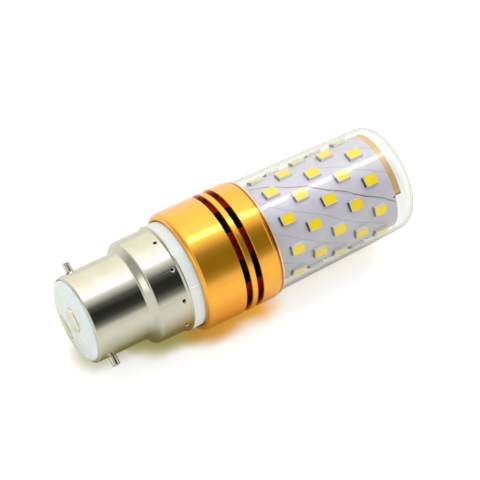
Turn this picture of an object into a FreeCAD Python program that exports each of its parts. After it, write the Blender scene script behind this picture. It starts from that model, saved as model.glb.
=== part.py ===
import FreeCAD, Part
import math
import os

import Sketcher

# Corn led bulb with a two-pin bayonet cap, in millimetres.
#
# The bulb stands on the flat outer face of its clear cover's head, cap upwards. +Z runs along its
# axis to the cap, the origin is the centre of that face, and the bayonet pins lie on the X axis.
# Levels are counted up from the head face, so the pieces stack: cover, sleeve, collar, cap.

DRIVING_SIZES = [
    ("cover_reach", 39.05, "head face to the sleeve's front edge"),
    ("cover_draft", 1.45, "taper of the cover's side, degrees"),
    ("cover_corner", 4.0, "round between the cover's side and head"),
    ("cover_wall", 0.7, "wall of the cover"),
    ("cover_tuck", 4.25, "length of the cover's rim inside the sleeve"),
    ("cover_fit", 0.05, "clearance round the cover's rim"),
    ("sleeve_length", 21.12, "front edge to rear opening"),
    ("sleeve_wall", 1.45, "wall of the sleeve round the driver housing"),
    ("sleeve_rear_land", 0.1, "flat left on the rear edge inside its round"),
    ("sleeve_bore_step", 1.55, "rear bore in to the middle bore, which takes the core tube"),
    ("lip_step", 0.4, "sleeve's outside in to the front lip"),
    ("lip_wall", 0.36, "wall of the front lip"),
    ("lip_length", 1.4, "front edge to the lip's shoulder"),
    ("lip_chamfer", 0.25, "bevel of the lip's front edge"),
    ("groove_set_back", 6.05, "front edge to the first groove"),
    ("groove_width", 1.6, "width of each groove"),
    ("groove_floor", 0.7, "metal left under a groove"),
    ("ridge_width", 1.45, "metal left between the grooves"),
    ("slot_count", 6, "slots in each groove's floor"),
    ("slot_angle", 30.0, "arc of one slot, degrees"),
    ("slot_turn", -5.7, "first slot's direction from +X, degrees"),
    ("spigot_length", 6.37, "driver housing inside the sleeve"),
    ("spigot_step", 0.2, "collar in to that spigot"),
    ("collar_length", 2.89, "collar that shows between sleeve and cap"),
    ("collar_step", 0.35, "cap's skirt out to the collar"),
    ("collar_round", 0.35, "round of the collar's edge at the sleeve"),
    ("collar_gap", 0.25, "clearance of the collar in the sleeve's rear opening"),
    ("housing_wall", 1.3, "wall and floor of the driver housing"),
    ("nose_length", 5.5, "part of the housing inside the cap's barrel"),
    ("nose_wall", 0.85, "wall of that nose"),
    ("rib_overlap", 0.75, "guide ribs over the driver board's edges"),
    ("rib_thickness", 1.0, "one guide rib"),
    ("board_fit", 0.05, "clearance of the driver board in its ribs"),
    ("skirt_length", 7.92, "cap's mouth to the start of the flare"),
    ("skirt_step", 2.05, "cap's barrel out to its skirt"),
    ("mouth_flare", 0.45, "how far the cap's mouth turns out"),
    ("mouth_edge", 0.3, "straight edge of the turned-out mouth"),
    ("mouth_angle", 45.0, "slope of the turned-out mouth from the axis, degrees"),
    ("flare_angle", 50.0, "slope of the flare from the axis, degrees"),
    ("flare_round", 1.25, "rounds at both ends of the flare"),
    ("barrel_length", 12.92, "end of the flare to the rolled edge"),
    ("barrel_radius", 11.0, "outside of the cap's barrel"),
    ("rolled_edge", 0.57, "round of the barrel's rolled edge"),
    ("shell_wall", 0.35, "sheet of the cap shell"),
    ("shell_fit", 0.05, "clearance of what sits inside the shell"),
    ("dimple_count", 10, "punched dimples that hold the cap"),
    ("dimple_rise", 1.88, "dimples above the cap's mouth"),
    ("dimple_radius", 0.5, "mouth of one dimple"),
    ("dimple_depth", 0.6, "depth of one dimple"),
    ("dimple_turn", 18.0, "first dimple's direction from +X, degrees"),
    ("pin_radius", 0.97, "bayonet pin"),
    ("pin_shank_radius", 0.8, "pin where it goes through the barrel"),
    ("pin_reach", 2.5, "tip of a pin outside the barrel"),
    ("pin_drop", 3.3, "pins below the barrel's rolled edge"),
    ("pin_chamfer", 0.15, "bevel of a pin's tip"),
    ("pin_head_radius", 1.5, "rivet head inside the barrel"),
    ("pin_head_thickness", 0.5, "rivet head"),
    ("pin_fit", 0.03, "clearance of a pin in its hole"),
    ("rim_gap", 0.12, "gap between insulator and rolled edge"),
    ("insulator_neck", 0.3, "straight side of the insulator above the barrel"),
    ("insulator_shoulder", 1.3, "round of the insulator's shoulder"),
    ("insulator_arch", 1.0, "crown of the insulator above its shoulder"),
    ("contact_offset", 3.95, "contact plate's centre from the axis"),
    ("contact_length", 6.1, "contact plate, across"),
    ("contact_width", 3.8, "contact plate, outwards"),
    ("contact_thickness", 0.8, "contact plate"),
    ("contact_round", 0.3, "round of a contact plate's edge"),
    ("contact_recess", 0.5, "seat of the plates below the insulator's crown"),
    ("contact_fit", 0.06, "clearance round a contact plate"),
    ("lead_radius", 0.45, "insulated lead"),
    ("lead_fit", 0.06, "clearance of a lead in its hole"),
    ("supply_lead_bend", 3.6, "height of a supply lead's bend"),
    ("supply_lead_tail", 1.6, "stretch of a supply lead on the board"),
    ("driver_board_inset", 0.45, "driver board's edges inside the housing's nose"),
    ("driver_board_drop", 2.9, "driver board's top edge below the insulator"),
    ("driver_board_thickness", 1.0, "driver board"),
    ("capacitor_radius", 4.0, "bulk capacitor's can"),
    ("capacitor_length", 11.0, "bulk capacitor's can"),
    ("capacitor_leg_spacing", 3.5, "bulk capacitor's legs"),
    ("capacitor_bead", 0.3, "rolled bead near the can's open end"),
    ("capacitor_bead_drop", 0.9, "bead below the can's open end"),
    ("wire_radius", 0.3, "bare leg of a component"),
    ("wire_rise", 1.0, "bare leg past its component before it bends"),
    ("resistor_radius", 1.25, "fusible resistor"),
    ("resistor_length", 7.0, "fusible resistor"),
    ("film_capacitor_width", 9.0, "film capacitor"),
    ("film_capacitor_height", 4.5, "film capacitor off the board"),
    ("film_capacitor_length", 6.6, "film capacitor"),
    ("film_capacitor_round", 0.5, "film capacitor's edges"),
    ("inductor_flange_radius", 4.5, "inductor's flanges"),
    ("inductor_winding_radius", 4.0, "inductor's winding"),
    ("inductor_flange", 0.9, "inductor's flange thickness"),
    ("inductor_height", 7.0, "inductor off the board"),
    ("chip_height", 1.5, "chip package off the board"),
    ("chip_standoff", 0.1, "gap under a chip package"),
    ("chip_leg_reach", 1.05, "chip leg past its package"),
    ("chip_leg_width", 0.42, "chip leg"),
    ("chip_leg_height", 0.5, "chip leg off the board"),
    ("driver_chip_width", 3.9, "driver chip's package"),
    ("driver_chip_length", 4.9, "driver chip's package"),
    ("driver_chip_leg_pitch", 1.27, "driver chip's legs"),
    ("rectifier_width", 3.9, "bridge rectifier's package"),
    ("rectifier_length", 4.7, "bridge rectifier's package"),
    ("rectifier_leg_pitch", 2.5, "bridge rectifier's legs"),
    ("led_cover_gap", 0.26, "tops of the leds to the cover at the first ring"),
    ("core_wall", 0.8, "wall of the core tube"),
    ("core_set_back", 1.0, "core tube inside the led board's head edge"),
    ("core_seat_length", 2.6, "core tube's wide end in the sleeve"),
    ("core_fit", 0.05, "clearance of the core tube in the sleeve and the board on it"),
    ("led_board_thickness", 0.5, "rolled led board"),
    ("led_board_start", 5.6, "head face to the led board's edge"),
    ("led_board_stop", 1.0, "led board's other edge inside the cover's rim"),
    ("seam_width", 0.35, "slanting seam of the rolled board"),
    ("seam_lead", 118.8, "height in which the seam would turn once"),
    ("seam_turn", 213.4, "seam's direction from +X at the head face, degrees"),
    ("strip_width", 1.65, "bare copper strip at the board's head edge"),
    ("strip_thickness", 0.3, "bare copper strip"),
    ("strip_angle", 180.0, "arc of the copper strip, degrees"),
    ("strip_turn", -32.7, "copper strip's middle from +X, degrees"),
    ("led_count", 10, "leds in one ring"),
    ("led_ring_start", 4.7, "led board's head edge to the first ring's centre"),
    ("led_ring_stop", 8.7, "last ring's centre to the led board's other edge"),
    ("led_turn", 14.8, "first led of the first ring from +X, degrees"),
    ("led_length", 3.5, "led package along the axis"),
    ("led_width", 2.8, "led package across"),
    ("led_height", 0.7, "led package"),
    ("window_length", 2.9, "phosphor window along the axis"),
    ("window_width", 2.4, "phosphor window across"),
    ("window_corner", 0.4, "cut corner of the window"),
    ("window_depth", 0.2, "phosphor's thickness"),
    ("window_set_back", 0.05, "phosphor below the package's top"),
    ("terminal_length", 0.35, "metal terminal past the package's end"),
    ("terminal_width", 2.0, "metal terminal"),
    ("terminal_height", 0.45, "metal terminal"),
    ("led_lead_inset", 2.3, "led lead inside the driver board's edge"),
    ("led_lead_tail", 5.0, "stretch of a led lead on the driver board"),
    ("led_lead_bend", 6.0, "height of a led lead's slanting bend"),
    ("led_lead_wall_gap", 0.2, "led lead off the core tube's inside"),
    ("led_lead_exit", 1.3, "led lead's hole below the led board's tail"),
    ("led_lead_proud", 0.25, "led lead's end past the led board"),
]
LED_RINGS = 5

# How far a cutting section runs past the metal on both sides.
CUT_OVERRUN = 1.0

doc = FreeCAD.newDocument("corn_led_bulb")
sheet = doc.addObject("Spreadsheet::Sheet", "sizes")


class Size:
    """A number and the sheet expression that it comes from, so sums of sizes stay bound to the sheet."""

    def __init__(self, value, text):
        self.value = value
        self.text = text

    def __add__(self, other):
        other = as_size(other)
        return Size(self.value + other.value, f"({self.text} + {other.text})")

    def __sub__(self, other):
        other = as_size(other)
        return Size(self.value - other.value, f"({self.text} - {other.text})")

    def __mul__(self, other):
        other = as_size(other)
        return Size(self.value * other.value, f"({self.text} * {other.text})")

    def __truediv__(self, other):
        other = as_size(other)
        return Size(self.value / other.value, f"({self.text} / {other.text})")

    def __neg__(self):
        return Size(-self.value, f"(0 - {self.text})")

    __radd__ = __add__
    __rmul__ = __mul__

    def __rsub__(self, other):
        return as_size(other) - self

    def __rtruediv__(self, other):
        return as_size(other) / self


def as_size(value):
    if isinstance(value, Size):
        return value
    return Size(value, repr(value))


def root(size):
    return Size(math.sqrt(size.value), f"sqrt({size.text})")


def sine(angle):
    return Size(math.sin(math.radians(angle.value)), f"sin({angle.text})")


def cosine(angle):
    return Size(math.cos(math.radians(angle.value)), f"cos({angle.text})")


def tangent(angle):
    return sine(angle) / cosine(angle)


class Sizes:
    """The driving sizes by name, each bound to its cell of the sheet."""

    def __init__(self, rows):
        for row, (alias, value, meaning) in enumerate(rows, start=1):
            sheet.set(f"A{row}", meaning)
            sheet.set(f"B{row}", str(value))
            sheet.setAlias(f"B{row}", alias)
            setattr(self, alias, Size(value, f"sizes.{alias}"))


size = Sizes(DRIVING_SIZES)
doc.recompute()

# Levels up the axis, from the head face.
SLEEVE_FRONT = size.cover_reach
SLEEVE_REAR = SLEEVE_FRONT + size.sleeve_length
COVER_RIM = SLEEVE_FRONT + size.cover_tuck
LIP_SHOULDER = SLEEVE_FRONT + size.lip_length
GROOVE_PITCH = size.groove_width + size.ridge_width
FIRST_GROOVE = SLEEVE_FRONT + size.groove_set_back
SECOND_GROOVE = FIRST_GROOVE + GROOVE_PITCH
HOUSING_END = SLEEVE_REAR - size.spigot_length
HOUSING_FLOOR = HOUSING_END + size.housing_wall
CAP_MOUTH = SLEEVE_REAR + size.collar_length
FLARE_START = CAP_MOUTH + size.skirt_length
DIMPLE_LEVEL = CAP_MOUTH + size.dimple_rise
LED_BOARD_TAIL = COVER_RIM - size.led_board_stop
CORE_SEAT_END = LED_BOARD_TAIL + size.core_seat_length
BOARD_HEAD_END = size.led_board_start
STRIP_END = BOARD_HEAD_END - size.strip_width
FIRST_RING = BOARD_HEAD_END + size.led_ring_start
RING_PITCH = (LED_BOARD_TAIL - size.led_ring_stop - FIRST_RING) / (LED_RINGS - 1)

# The flare between skirt and barrel: a round, a straight cone and a round back.
FLARE_STEP = size.flare_round * (1 - cosine(size.flare_angle))
FLARE_RISE = size.flare_round * sine(size.flare_angle)
CONE_RISE = (size.skirt_step - 2 * FLARE_STEP) / tangent(size.flare_angle)
FLARE_END = FLARE_START + 2 * FLARE_RISE + CONE_RISE
BARREL_END = FLARE_END + size.barrel_length
PIN_LEVEL = BARREL_END - size.pin_drop
INSULATOR_FOOT = PIN_LEVEL + size.pin_head_radius + size.shell_fit
INSULATOR_SHOULDER = BARREL_END + size.insulator_neck
INSULATOR_CROWN = INSULATOR_SHOULDER + size.insulator_shoulder + size.insulator_arch
CONTACT_SEAT = INSULATOR_CROWN - size.contact_recess

# Radii, each from its neighbour's: the cap's barrel, its skirt, the collar, the sleeve, the cover.
SKIRT_RADIUS = size.barrel_radius + size.skirt_step
COLLAR_RADIUS = SKIRT_RADIUS + size.collar_step
SPIGOT_RADIUS = COLLAR_RADIUS - size.spigot_step
SLEEVE_REAR_BORE = COLLAR_RADIUS + size.collar_gap
SLEEVE_RADIUS = SLEEVE_REAR_BORE + size.sleeve_wall
SLEEVE_BORE = SLEEVE_REAR_BORE - size.sleeve_bore_step
GROOVE_FLOOR = SLEEVE_BORE + size.groove_floor
LIP_RADIUS = SLEEVE_RADIUS - size.lip_step
SLEEVE_MOUTH_BORE = LIP_RADIUS - size.lip_wall
COVER_MOUTH_RADIUS = SLEEVE_MOUTH_BORE - size.cover_fit
COVER_HEAD_RADIUS = COVER_MOUTH_RADIUS - tangent(size.cover_draft) * SLEEVE_FRONT
COVER_BORE_AT_LEDS = COVER_HEAD_RADIUS + tangent(size.cover_draft) * FIRST_RING - size.cover_wall
SHELL_SKIRT_BORE = SKIRT_RADIUS - size.shell_wall
SHELL_BARREL_BORE = size.barrel_radius - size.shell_wall
NECK_RADIUS = SHELL_SKIRT_BORE - size.shell_fit
NOSE_RADIUS = SHELL_BARREL_BORE - size.shell_fit
HOUSING_BORE = NECK_RADIUS - size.housing_wall
NOSE_BORE = NOSE_RADIUS - size.nose_wall
RIM_RADIUS = size.barrel_radius - size.rolled_edge
CORE_SEAT_RADIUS = SLEEVE_BORE - size.core_fit
LED_BOARD_RADIUS = COVER_BORE_AT_LEDS - size.led_cover_gap - size.led_height
LED_BOARD_BORE = LED_BOARD_RADIUS - size.led_board_thickness
CORE_RADIUS = LED_BOARD_BORE - size.core_fit
PIN_TIP = size.barrel_radius + size.pin_reach

# The driver board fills the housing from its floor to just below the insulator.
BOARD_HALF = size.driver_board_thickness / 2
BOARD_EDGE = NOSE_BORE - size.driver_board_inset
BOARD_TOP = INSULATOR_FOOT - size.driver_board_drop
LEAD_PLANE = BOARD_HALF + size.lead_radius
LED_LEAD_PLACE = BOARD_EDGE - size.led_lead_inset

# What stands on each side of the board is spread out evenly below the supply leads' ends.
SUPPLY_BEND_START = INSULATOR_FOOT - size.lead_radius
SUPPLY_BEND_END = SUPPLY_BEND_START - size.supply_lead_bend
SUPPLY_LEAD_END = SUPPLY_BEND_END - size.supply_lead_tail
BOARD_ROOM = SUPPLY_LEAD_END - HOUSING_FLOOR
CAPACITOR_TALL = size.capacitor_length + size.wire_rise + size.wire_radius
RESISTOR_TALL = 2 * size.resistor_radius
BACK_GAP = (BOARD_ROOM - CAPACITOR_TALL - RESISTOR_TALL - size.film_capacitor_length) / 4
CAPACITOR_FOOT = HOUSING_FLOOR + BACK_GAP
RESISTOR_LEVEL = CAPACITOR_FOOT + CAPACITOR_TALL + BACK_GAP + size.resistor_radius
FILM_CAPACITOR_FOOT = RESISTOR_LEVEL + size.resistor_radius + BACK_GAP
INDUCTOR_TALL = 2 * size.inductor_flange_radius
FRONT_GAP = (BOARD_ROOM - INDUCTOR_TALL - size.driver_chip_length - size.rectifier_length) / 4
INDUCTOR_LEVEL = HOUSING_FLOOR + FRONT_GAP + size.inductor_flange_radius
DRIVER_CHIP_FOOT = HOUSING_FLOOR + INDUCTOR_TALL + 2 * FRONT_GAP
DRIVER_CHIP_LEVEL = DRIVER_CHIP_FOOT + size.driver_chip_length / 2
RECTIFIER_FOOT = DRIVER_CHIP_FOOT + size.driver_chip_length + FRONT_GAP
RECTIFIER_LEVEL = RECTIFIER_FOOT + size.rectifier_length / 2


def bind(item, **sizes):
    """Binds properties of an object to sheet expressions; a double underscore stands for a dot."""
    for name, value in sizes.items():
        item.setExpression(name.replace("__", "."), as_size(value).text)


def plane_of(body, role):
    """One of the body's own origin planes."""
    for feature in body.Origin.OriginFeatures:
        if feature.Role == role:
            return feature
    raise ValueError(f"no origin plane {role}")


def new_body(label):
    body = doc.addObject("PartDesign::Body", label)
    body.Label = label
    body.AllowCompound = True
    return body


def new_sketch(body, name, role, lift=0.0, turn=0.0):
    """A sketch on an origin plane, turned about its own upright axis, then moved along its normal."""
    sketch = body.newObject("Sketcher::SketchObject", name)
    sketch.AttachmentSupport = (plane_of(body, role), [""])
    sketch.MapMode = "FlatFace"
    lift = as_size(lift)
    turn = as_size(turn)
    aside = lift * sine(turn)
    ahead = lift * cosine(turn)
    rotation = FreeCAD.Rotation(FreeCAD.Vector(0, 1, 0), turn.value)
    sketch.AttachmentOffset = FreeCAD.Placement(FreeCAD.Vector(aside.value, 0, ahead.value), rotation)
    if lift.value:
        sketch.setExpression("AttachmentOffset.Base.z", ahead.text)
    if turn.value:
        sketch.setExpression("AttachmentOffset.Rotation.Angle", turn.text)
    if lift.value and turn.value:
        sketch.setExpression("AttachmentOffset.Base.x", aside.text)
    return sketch


def named_constraint(sketch, value, *parts):
    index = sketch.addConstraint(Sketcher.Constraint(*parts, value.value))
    name = f"size_{index}"
    sketch.renameConstraint(index, name)
    sketch.setExpression(f"Constraints.{name}", value.text)


def pin_point(sketch, geometry, end, across, up):
    """Holds one end of an edge at its place from the sketch's origin."""
    if across.value:
        named_constraint(sketch, across, "DistanceX", -1, 1, geometry, end)
    else:
        sketch.addConstraint(Sketcher.Constraint("PointOnObject", geometry, end, -2))
    if up.value:
        named_constraint(sketch, up, "DistanceY", -1, 1, geometry, end)
    else:
        sketch.addConstraint(Sketcher.Constraint("PointOnObject", geometry, end, -1))


def arc_between(start, end, radius, side):
    """The shorter arc from start to end; side is +1 where it turns left and -1 where it turns right."""
    middle = (start + end) * 0.5
    chord = end - start
    height = math.sqrt(max(radius * radius - chord.Length * chord.Length / 4, 0.0))
    left = FreeCAD.Vector(-chord.y, chord.x, 0).normalize()
    centre = middle + left * height * side
    circle = Part.Circle(centre, FreeCAD.Vector(0, 0, 1), radius)
    first, last = (start, end) if side > 0 else (end, start)
    angles = [math.atan2(p.y - centre.y, p.x - centre.x) for p in (first, last)]
    return Part.ArcOfCircle(circle, angles[0], angles[1])


def draw_path(sketch, points, closed):
    """Draws straight edges and arcs through the points.

    A point is (across, up) after a straight edge, or (across, up, radius, side) after an arc.
    """
    places = [(as_size(p[0]), as_size(p[1])) for p in points]
    count = len(points) if closed else len(points) - 1
    ends = []
    for index in range(count):
        target = (index + 1) % len(points)
        start = FreeCAD.Vector(places[index][0].value, places[index][1].value, 0)
        end = FreeCAD.Vector(places[target][0].value, places[target][1].value, 0)
        if len(points[target]) == 2:
            geometry = sketch.addGeometry(Part.LineSegment(start, end))
            ends.append((geometry, 1, 2))
            continue
        radius = as_size(points[target][2])
        side = points[target][3]
        geometry = sketch.addGeometry(arc_between(start, end, radius.value, side))
        named_constraint(sketch, radius, "Radius", geometry)
        ends.append((geometry, 1, 2) if side > 0 else (geometry, 2, 1))
    for index in range(count):
        geometry, start_end, far_end = ends[index]
        pin_point(sketch, geometry, start_end, *places[index])
        if index + 1 < count or closed:
            following = ends[(index + 1) % count]
            link = Sketcher.Constraint("Coincident", geometry, far_end, following[0], following[1])
            sketch.addConstraint(link)
        else:
            pin_point(sketch, geometry, far_end, *places[-1])
    return sketch


def rectangle(sketch, left, right, low, high):
    return draw_path(sketch, [(left, low), (right, low), (right, high), (left, high)], closed=True)


def circle(sketch, across, up, radius):
    across = as_size(across)
    up = as_size(up)
    radius = as_size(radius)
    centre = FreeCAD.Vector(across.value, up.value, 0)
    geometry = sketch.addGeometry(Part.Circle(centre, FreeCAD.Vector(0, 0, 1), radius.value))
    pin_point(sketch, geometry, 3, across, up)
    named_constraint(sketch, radius, "Radius", geometry)
    return sketch


def add_feature(body, kind, name, sketch, **sizes):
    feature = body.newObject(kind, name)
    feature.Profile = sketch
    bind(feature, **sizes)
    return feature


def revolve(body, name, sketch, angle=360.0):
    """Turns a sketch about its own upright axis, which is the bulb's axis."""
    feature = add_feature(body, "PartDesign::Revolution", name, sketch, Angle=angle)
    feature.ReferenceAxis = (sketch, ["V_Axis"])
    return feature


def revolved_body(label, points):
    body = new_body(label)
    sketch = draw_path(new_sketch(body, f"{label}_section", "XZ_Plane"), points, closed=True)
    revolve(body, f"{label}_turned", sketch)
    return body


def polar_pattern(body, name, features, count):
    pattern = body.newObject("PartDesign::PolarPattern", name)
    pattern.Originals = features
    pattern.Axis = (plane_axis(body), [""])
    pattern.Angle = 360.0
    pattern.Occurrences = int(as_size(count).value)
    if isinstance(count, Size):
        bind(pattern, Occurrences=count)
    body.Tip = pattern
    return pattern


def plane_axis(body):
    """The body's own Z axis."""
    for feature in body.Origin.OriginFeatures:
        if feature.Role == "Z_Axis":
            return feature
    raise ValueError("no Z axis")


def place(item, turn=0.0, lift=0.0):
    """Turns a finished body about the bulb's axis and lifts it along it."""
    turn = as_size(turn)
    lift = as_size(lift)
    rotation = FreeCAD.Rotation(FreeCAD.Vector(0, 0, 1), turn.value)
    item.Placement = FreeCAD.Placement(FreeCAD.Vector(0, 0, lift.value), rotation)
    if turn.value:
        item.setExpression("Placement.Rotation.Angle", turn.text)
    if lift.value:
        item.setExpression("Placement.Base.z", lift.text)


def edges_at(shape, wanted):
    """Names of the edges for which wanted(edge) holds."""
    return [f"Edge{i}" for i, edge in enumerate(shape.Edges, start=1) if wanted(edge)]


def faces_at(shape, wanted):
    """Names of the faces for which wanted(face) holds."""
    return [f"Face{i}" for i, face in enumerate(shape.Faces, start=1) if wanted(face)]


def level_at(shape, level):
    """Whether an edge or face lies flat at one level."""
    box = shape.BoundBox
    return abs(box.ZMin - level.value) < 0.001 and abs(box.ZMax - level.value) < 0.001


def fillet_edges(body, name, base, edges, radius):
    fillet = body.newObject("PartDesign::Fillet", name)
    fillet.Base = (base, edges)
    fillet.Radius = radius.value
    bind(fillet, Radius=radius)
    return fillet


def shell_out(body, name, base, open_faces, wall):
    """Hollows a solid inwards to a wall, open at the given faces."""
    thickness = body.newObject("PartDesign::Thickness", name)
    thickness.Base = (base, open_faces)
    thickness.Value = wall.value
    thickness.Reversed = True
    bind(thickness, Value=wall)
    return thickness


def make_clear_cover():
    """A tapered tube, closed at the head, whose rim sits in the sleeve's front bore."""
    body = new_body("clear_cover")
    outline = [
        (0, 0),
        (COVER_HEAD_RADIUS, 0),
        (COVER_MOUTH_RADIUS, SLEEVE_FRONT),
        (COVER_MOUTH_RADIUS, COVER_RIM),
        (0, COVER_RIM),
    ]
    section = draw_path(new_sketch(body, "cover_section", "XZ_Plane"), outline, closed=True)
    solid = revolve(body, "cover_solid", section)
    doc.recompute()
    head_edge = edges_at(solid.Shape, lambda e: level_at(e, as_size(0)))
    rounded = fillet_edges(body, "cover_corner_round", solid, head_edge, size.cover_corner)
    doc.recompute()
    rim = faces_at(rounded.Shape, lambda f: level_at(f, COVER_RIM))
    shell_out(body, "cover_hollow", rounded, rim, size.cover_wall)


def make_heat_sleeve():
    """Turned sleeve: front lip, two slotted grooves, rounded rear edge and stepped bores."""
    rear_round = size.sleeve_wall - size.sleeve_rear_land
    outline = [
        (SLEEVE_MOUTH_BORE, SLEEVE_FRONT),
        (LIP_RADIUS - size.lip_chamfer, SLEEVE_FRONT),
        (LIP_RADIUS, SLEEVE_FRONT + size.lip_chamfer),
        (LIP_RADIUS, LIP_SHOULDER),
        (SLEEVE_RADIUS, LIP_SHOULDER + size.lip_step, size.lip_step, 1),
        (SLEEVE_RADIUS, FIRST_GROOVE),
        (GROOVE_FLOOR, FIRST_GROOVE),
        (GROOVE_FLOOR, FIRST_GROOVE + size.groove_width),
        (SLEEVE_RADIUS, FIRST_GROOVE + size.groove_width),
        (SLEEVE_RADIUS, SECOND_GROOVE),
        (GROOVE_FLOOR, SECOND_GROOVE),
        (GROOVE_FLOOR, SECOND_GROOVE + size.groove_width),
        (SLEEVE_RADIUS, SECOND_GROOVE + size.groove_width),
        (SLEEVE_RADIUS, SLEEVE_REAR - rear_round),
        (SLEEVE_RADIUS - rear_round, SLEEVE_REAR, rear_round, 1),
        (SLEEVE_REAR_BORE, SLEEVE_REAR),
        (SLEEVE_REAR_BORE, HOUSING_END),
        (SLEEVE_BORE, HOUSING_END),
        (SLEEVE_BORE, COVER_RIM),
        (SLEEVE_MOUTH_BORE, COVER_RIM),
    ]
    body = revolved_body("heat_sleeve", outline)
    cuts = []
    for name, level in (("front_slot", FIRST_GROOVE), ("rear_slot", SECOND_GROOVE)):
        sketch = new_sketch(body, f"{name}_section", "XZ_Plane", turn=size.slot_turn)
        inside = SLEEVE_BORE - CUT_OVERRUN
        outside = SLEEVE_RADIUS + CUT_OVERRUN
        rectangle(sketch, inside, outside, level, level + size.groove_width)
        slot = body.newObject("PartDesign::Groove", name)
        slot.Profile = sketch
        slot.ReferenceAxis = (sketch, ["V_Axis"])
        slot.Midplane = True
        bind(slot, Angle=size.slot_angle)
        cuts.append(slot)
    polar_pattern(body, "slots_round_the_sleeve", cuts, size.slot_count)


def make_cap_shell():
    """Pressed cap: turned-out mouth, skirt, flare, barrel with a rolled edge, pin holes and dimples."""
    body = new_body("cap_shell")
    wall = size.shell_wall
    mouth_radius = SKIRT_RADIUS + size.mouth_flare
    mouth_slope = CAP_MOUTH + size.mouth_edge
    mouth_slope_end = mouth_slope + size.mouth_flare / tangent(size.mouth_angle)
    mitre = wall * tangent(size.mouth_angle / 2)
    inner_round = size.flare_round - wall
    outer_round = size.flare_round + wall
    slope_across = cosine(size.flare_angle)
    slope_up = sine(size.flare_angle)
    outline = [
        (mouth_radius - wall, CAP_MOUTH),
        (mouth_radius, CAP_MOUTH),
        (mouth_radius, mouth_slope),
        (SKIRT_RADIUS, mouth_slope_end),
        (SKIRT_RADIUS, FLARE_START),
        (SKIRT_RADIUS - FLARE_STEP, FLARE_START + FLARE_RISE, size.flare_round, 1),
        (size.barrel_radius + FLARE_STEP, FLARE_END - FLARE_RISE),
        (size.barrel_radius, FLARE_END, size.flare_round, -1),
        (size.barrel_radius, BARREL_END),
        (RIM_RADIUS, BARREL_END + size.rolled_edge, size.rolled_edge, 1),
        (RIM_RADIUS, BARREL_END + size.rolled_edge - wall),
        (SHELL_BARREL_BORE, BARREL_END, size.rolled_edge - wall, -1),
        (SHELL_BARREL_BORE, FLARE_END),
        (
            size.barrel_radius + size.flare_round - outer_round * slope_across,
            FLARE_END - outer_round * slope_up,
            outer_round,
            1,
        ),
        (
            SKIRT_RADIUS - size.flare_round + inner_round * slope_across,
            FLARE_START + inner_round * slope_up,
        ),
        (SHELL_SKIRT_BORE, FLARE_START, inner_round, -1),
        (SHELL_SKIRT_BORE, mouth_slope_end - mitre),
        (mouth_radius - wall, mouth_slope - mitre),
    ]
    section = draw_path(new_sketch(body, "cap_section", "XZ_Plane"), outline, closed=True)
    revolve(body, "cap_turned", section)
    hole_sketch = new_sketch(body, "pin_hole_outline", "YZ_Plane")
    circle(hole_sketch, 0, PIN_LEVEL, size.pin_shank_radius + size.pin_fit)
    holes = body.newObject("PartDesign::Pocket", "pin_holes")
    holes.Profile = hole_sketch
    holes.Type = "ThroughAll"
    holes.Midplane = True
    doc.recompute()
    floor = SKIRT_RADIUS - size.dimple_depth
    bump_sketch = new_sketch(body, "bump_outline", "YZ_Plane", lift=floor - wall, turn=size.dimple_turn)
    circle(bump_sketch, 0, DIMPLE_LEVEL, size.dimple_radius + wall)
    bump = add_feature(body, "PartDesign::Pad", "dimple_bump", bump_sketch)
    bind(bump, Length=size.dimple_depth + wall / 2)
    dent_sketch = new_sketch(body, "dent_outline", "YZ_Plane", lift=floor, turn=size.dimple_turn)
    circle(dent_sketch, 0, DIMPLE_LEVEL, size.dimple_radius)
    dent = add_feature(body, "PartDesign::Pocket", "dimple_dent", dent_sketch)
    dent.Reversed = True
    bind(dent, Length=size.dimple_depth + CUT_OVERRUN)
    polar_pattern(body, "dimples_round_the_skirt", [bump, dent], size.dimple_count)


def make_bayonet_pin(label, turn):
    """A rivet through the barrel: head inside, shank, and a pin outside with a coned foot."""
    body = new_body(label)
    head_out = root(
        SHELL_BARREL_BORE * SHELL_BARREL_BORE - size.pin_head_radius * size.pin_head_radius
    ) - size.shell_fit
    head_sketch = new_sketch(body, f"{label}_head_outline", "YZ_Plane", lift=head_out)
    circle(head_sketch, 0, PIN_LEVEL, size.pin_head_radius)
    head = add_feature(body, "PartDesign::Pad", f"{label}_head", head_sketch)
    bind(head, Length=size.pin_head_thickness)
    head.Reversed = True
    shank_sketch = new_sketch(body, f"{label}_shank_outline", "YZ_Plane", lift=head_out)
    circle(shank_sketch, 0, PIN_LEVEL, size.pin_shank_radius)
    shank = add_feature(body, "PartDesign::Pad", f"{label}_shank", shank_sketch)
    bind(shank, Length=size.barrel_radius + size.pin_reach / 2 - head_out)
    section = new_sketch(body, f"{label}_section", "XZ_Plane")
    foot = size.pin_radius - size.pin_shank_radius
    outline = [
        (size.barrel_radius, PIN_LEVEL),
        (size.barrel_radius, PIN_LEVEL + size.pin_shank_radius),
        (size.barrel_radius + foot, PIN_LEVEL + size.pin_radius),
        (PIN_TIP - size.pin_chamfer, PIN_LEVEL + size.pin_radius),
        (PIN_TIP, PIN_LEVEL + size.pin_radius - size.pin_chamfer),
        (PIN_TIP, PIN_LEVEL),
    ]
    draw_path(section, outline, closed=True)
    shaft = add_feature(body, "PartDesign::Revolution", f"{label}_shaft", section, Angle=360.0)
    shaft.ReferenceAxis = (section, ["Edge6"])
    place(body, turn=turn)


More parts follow.
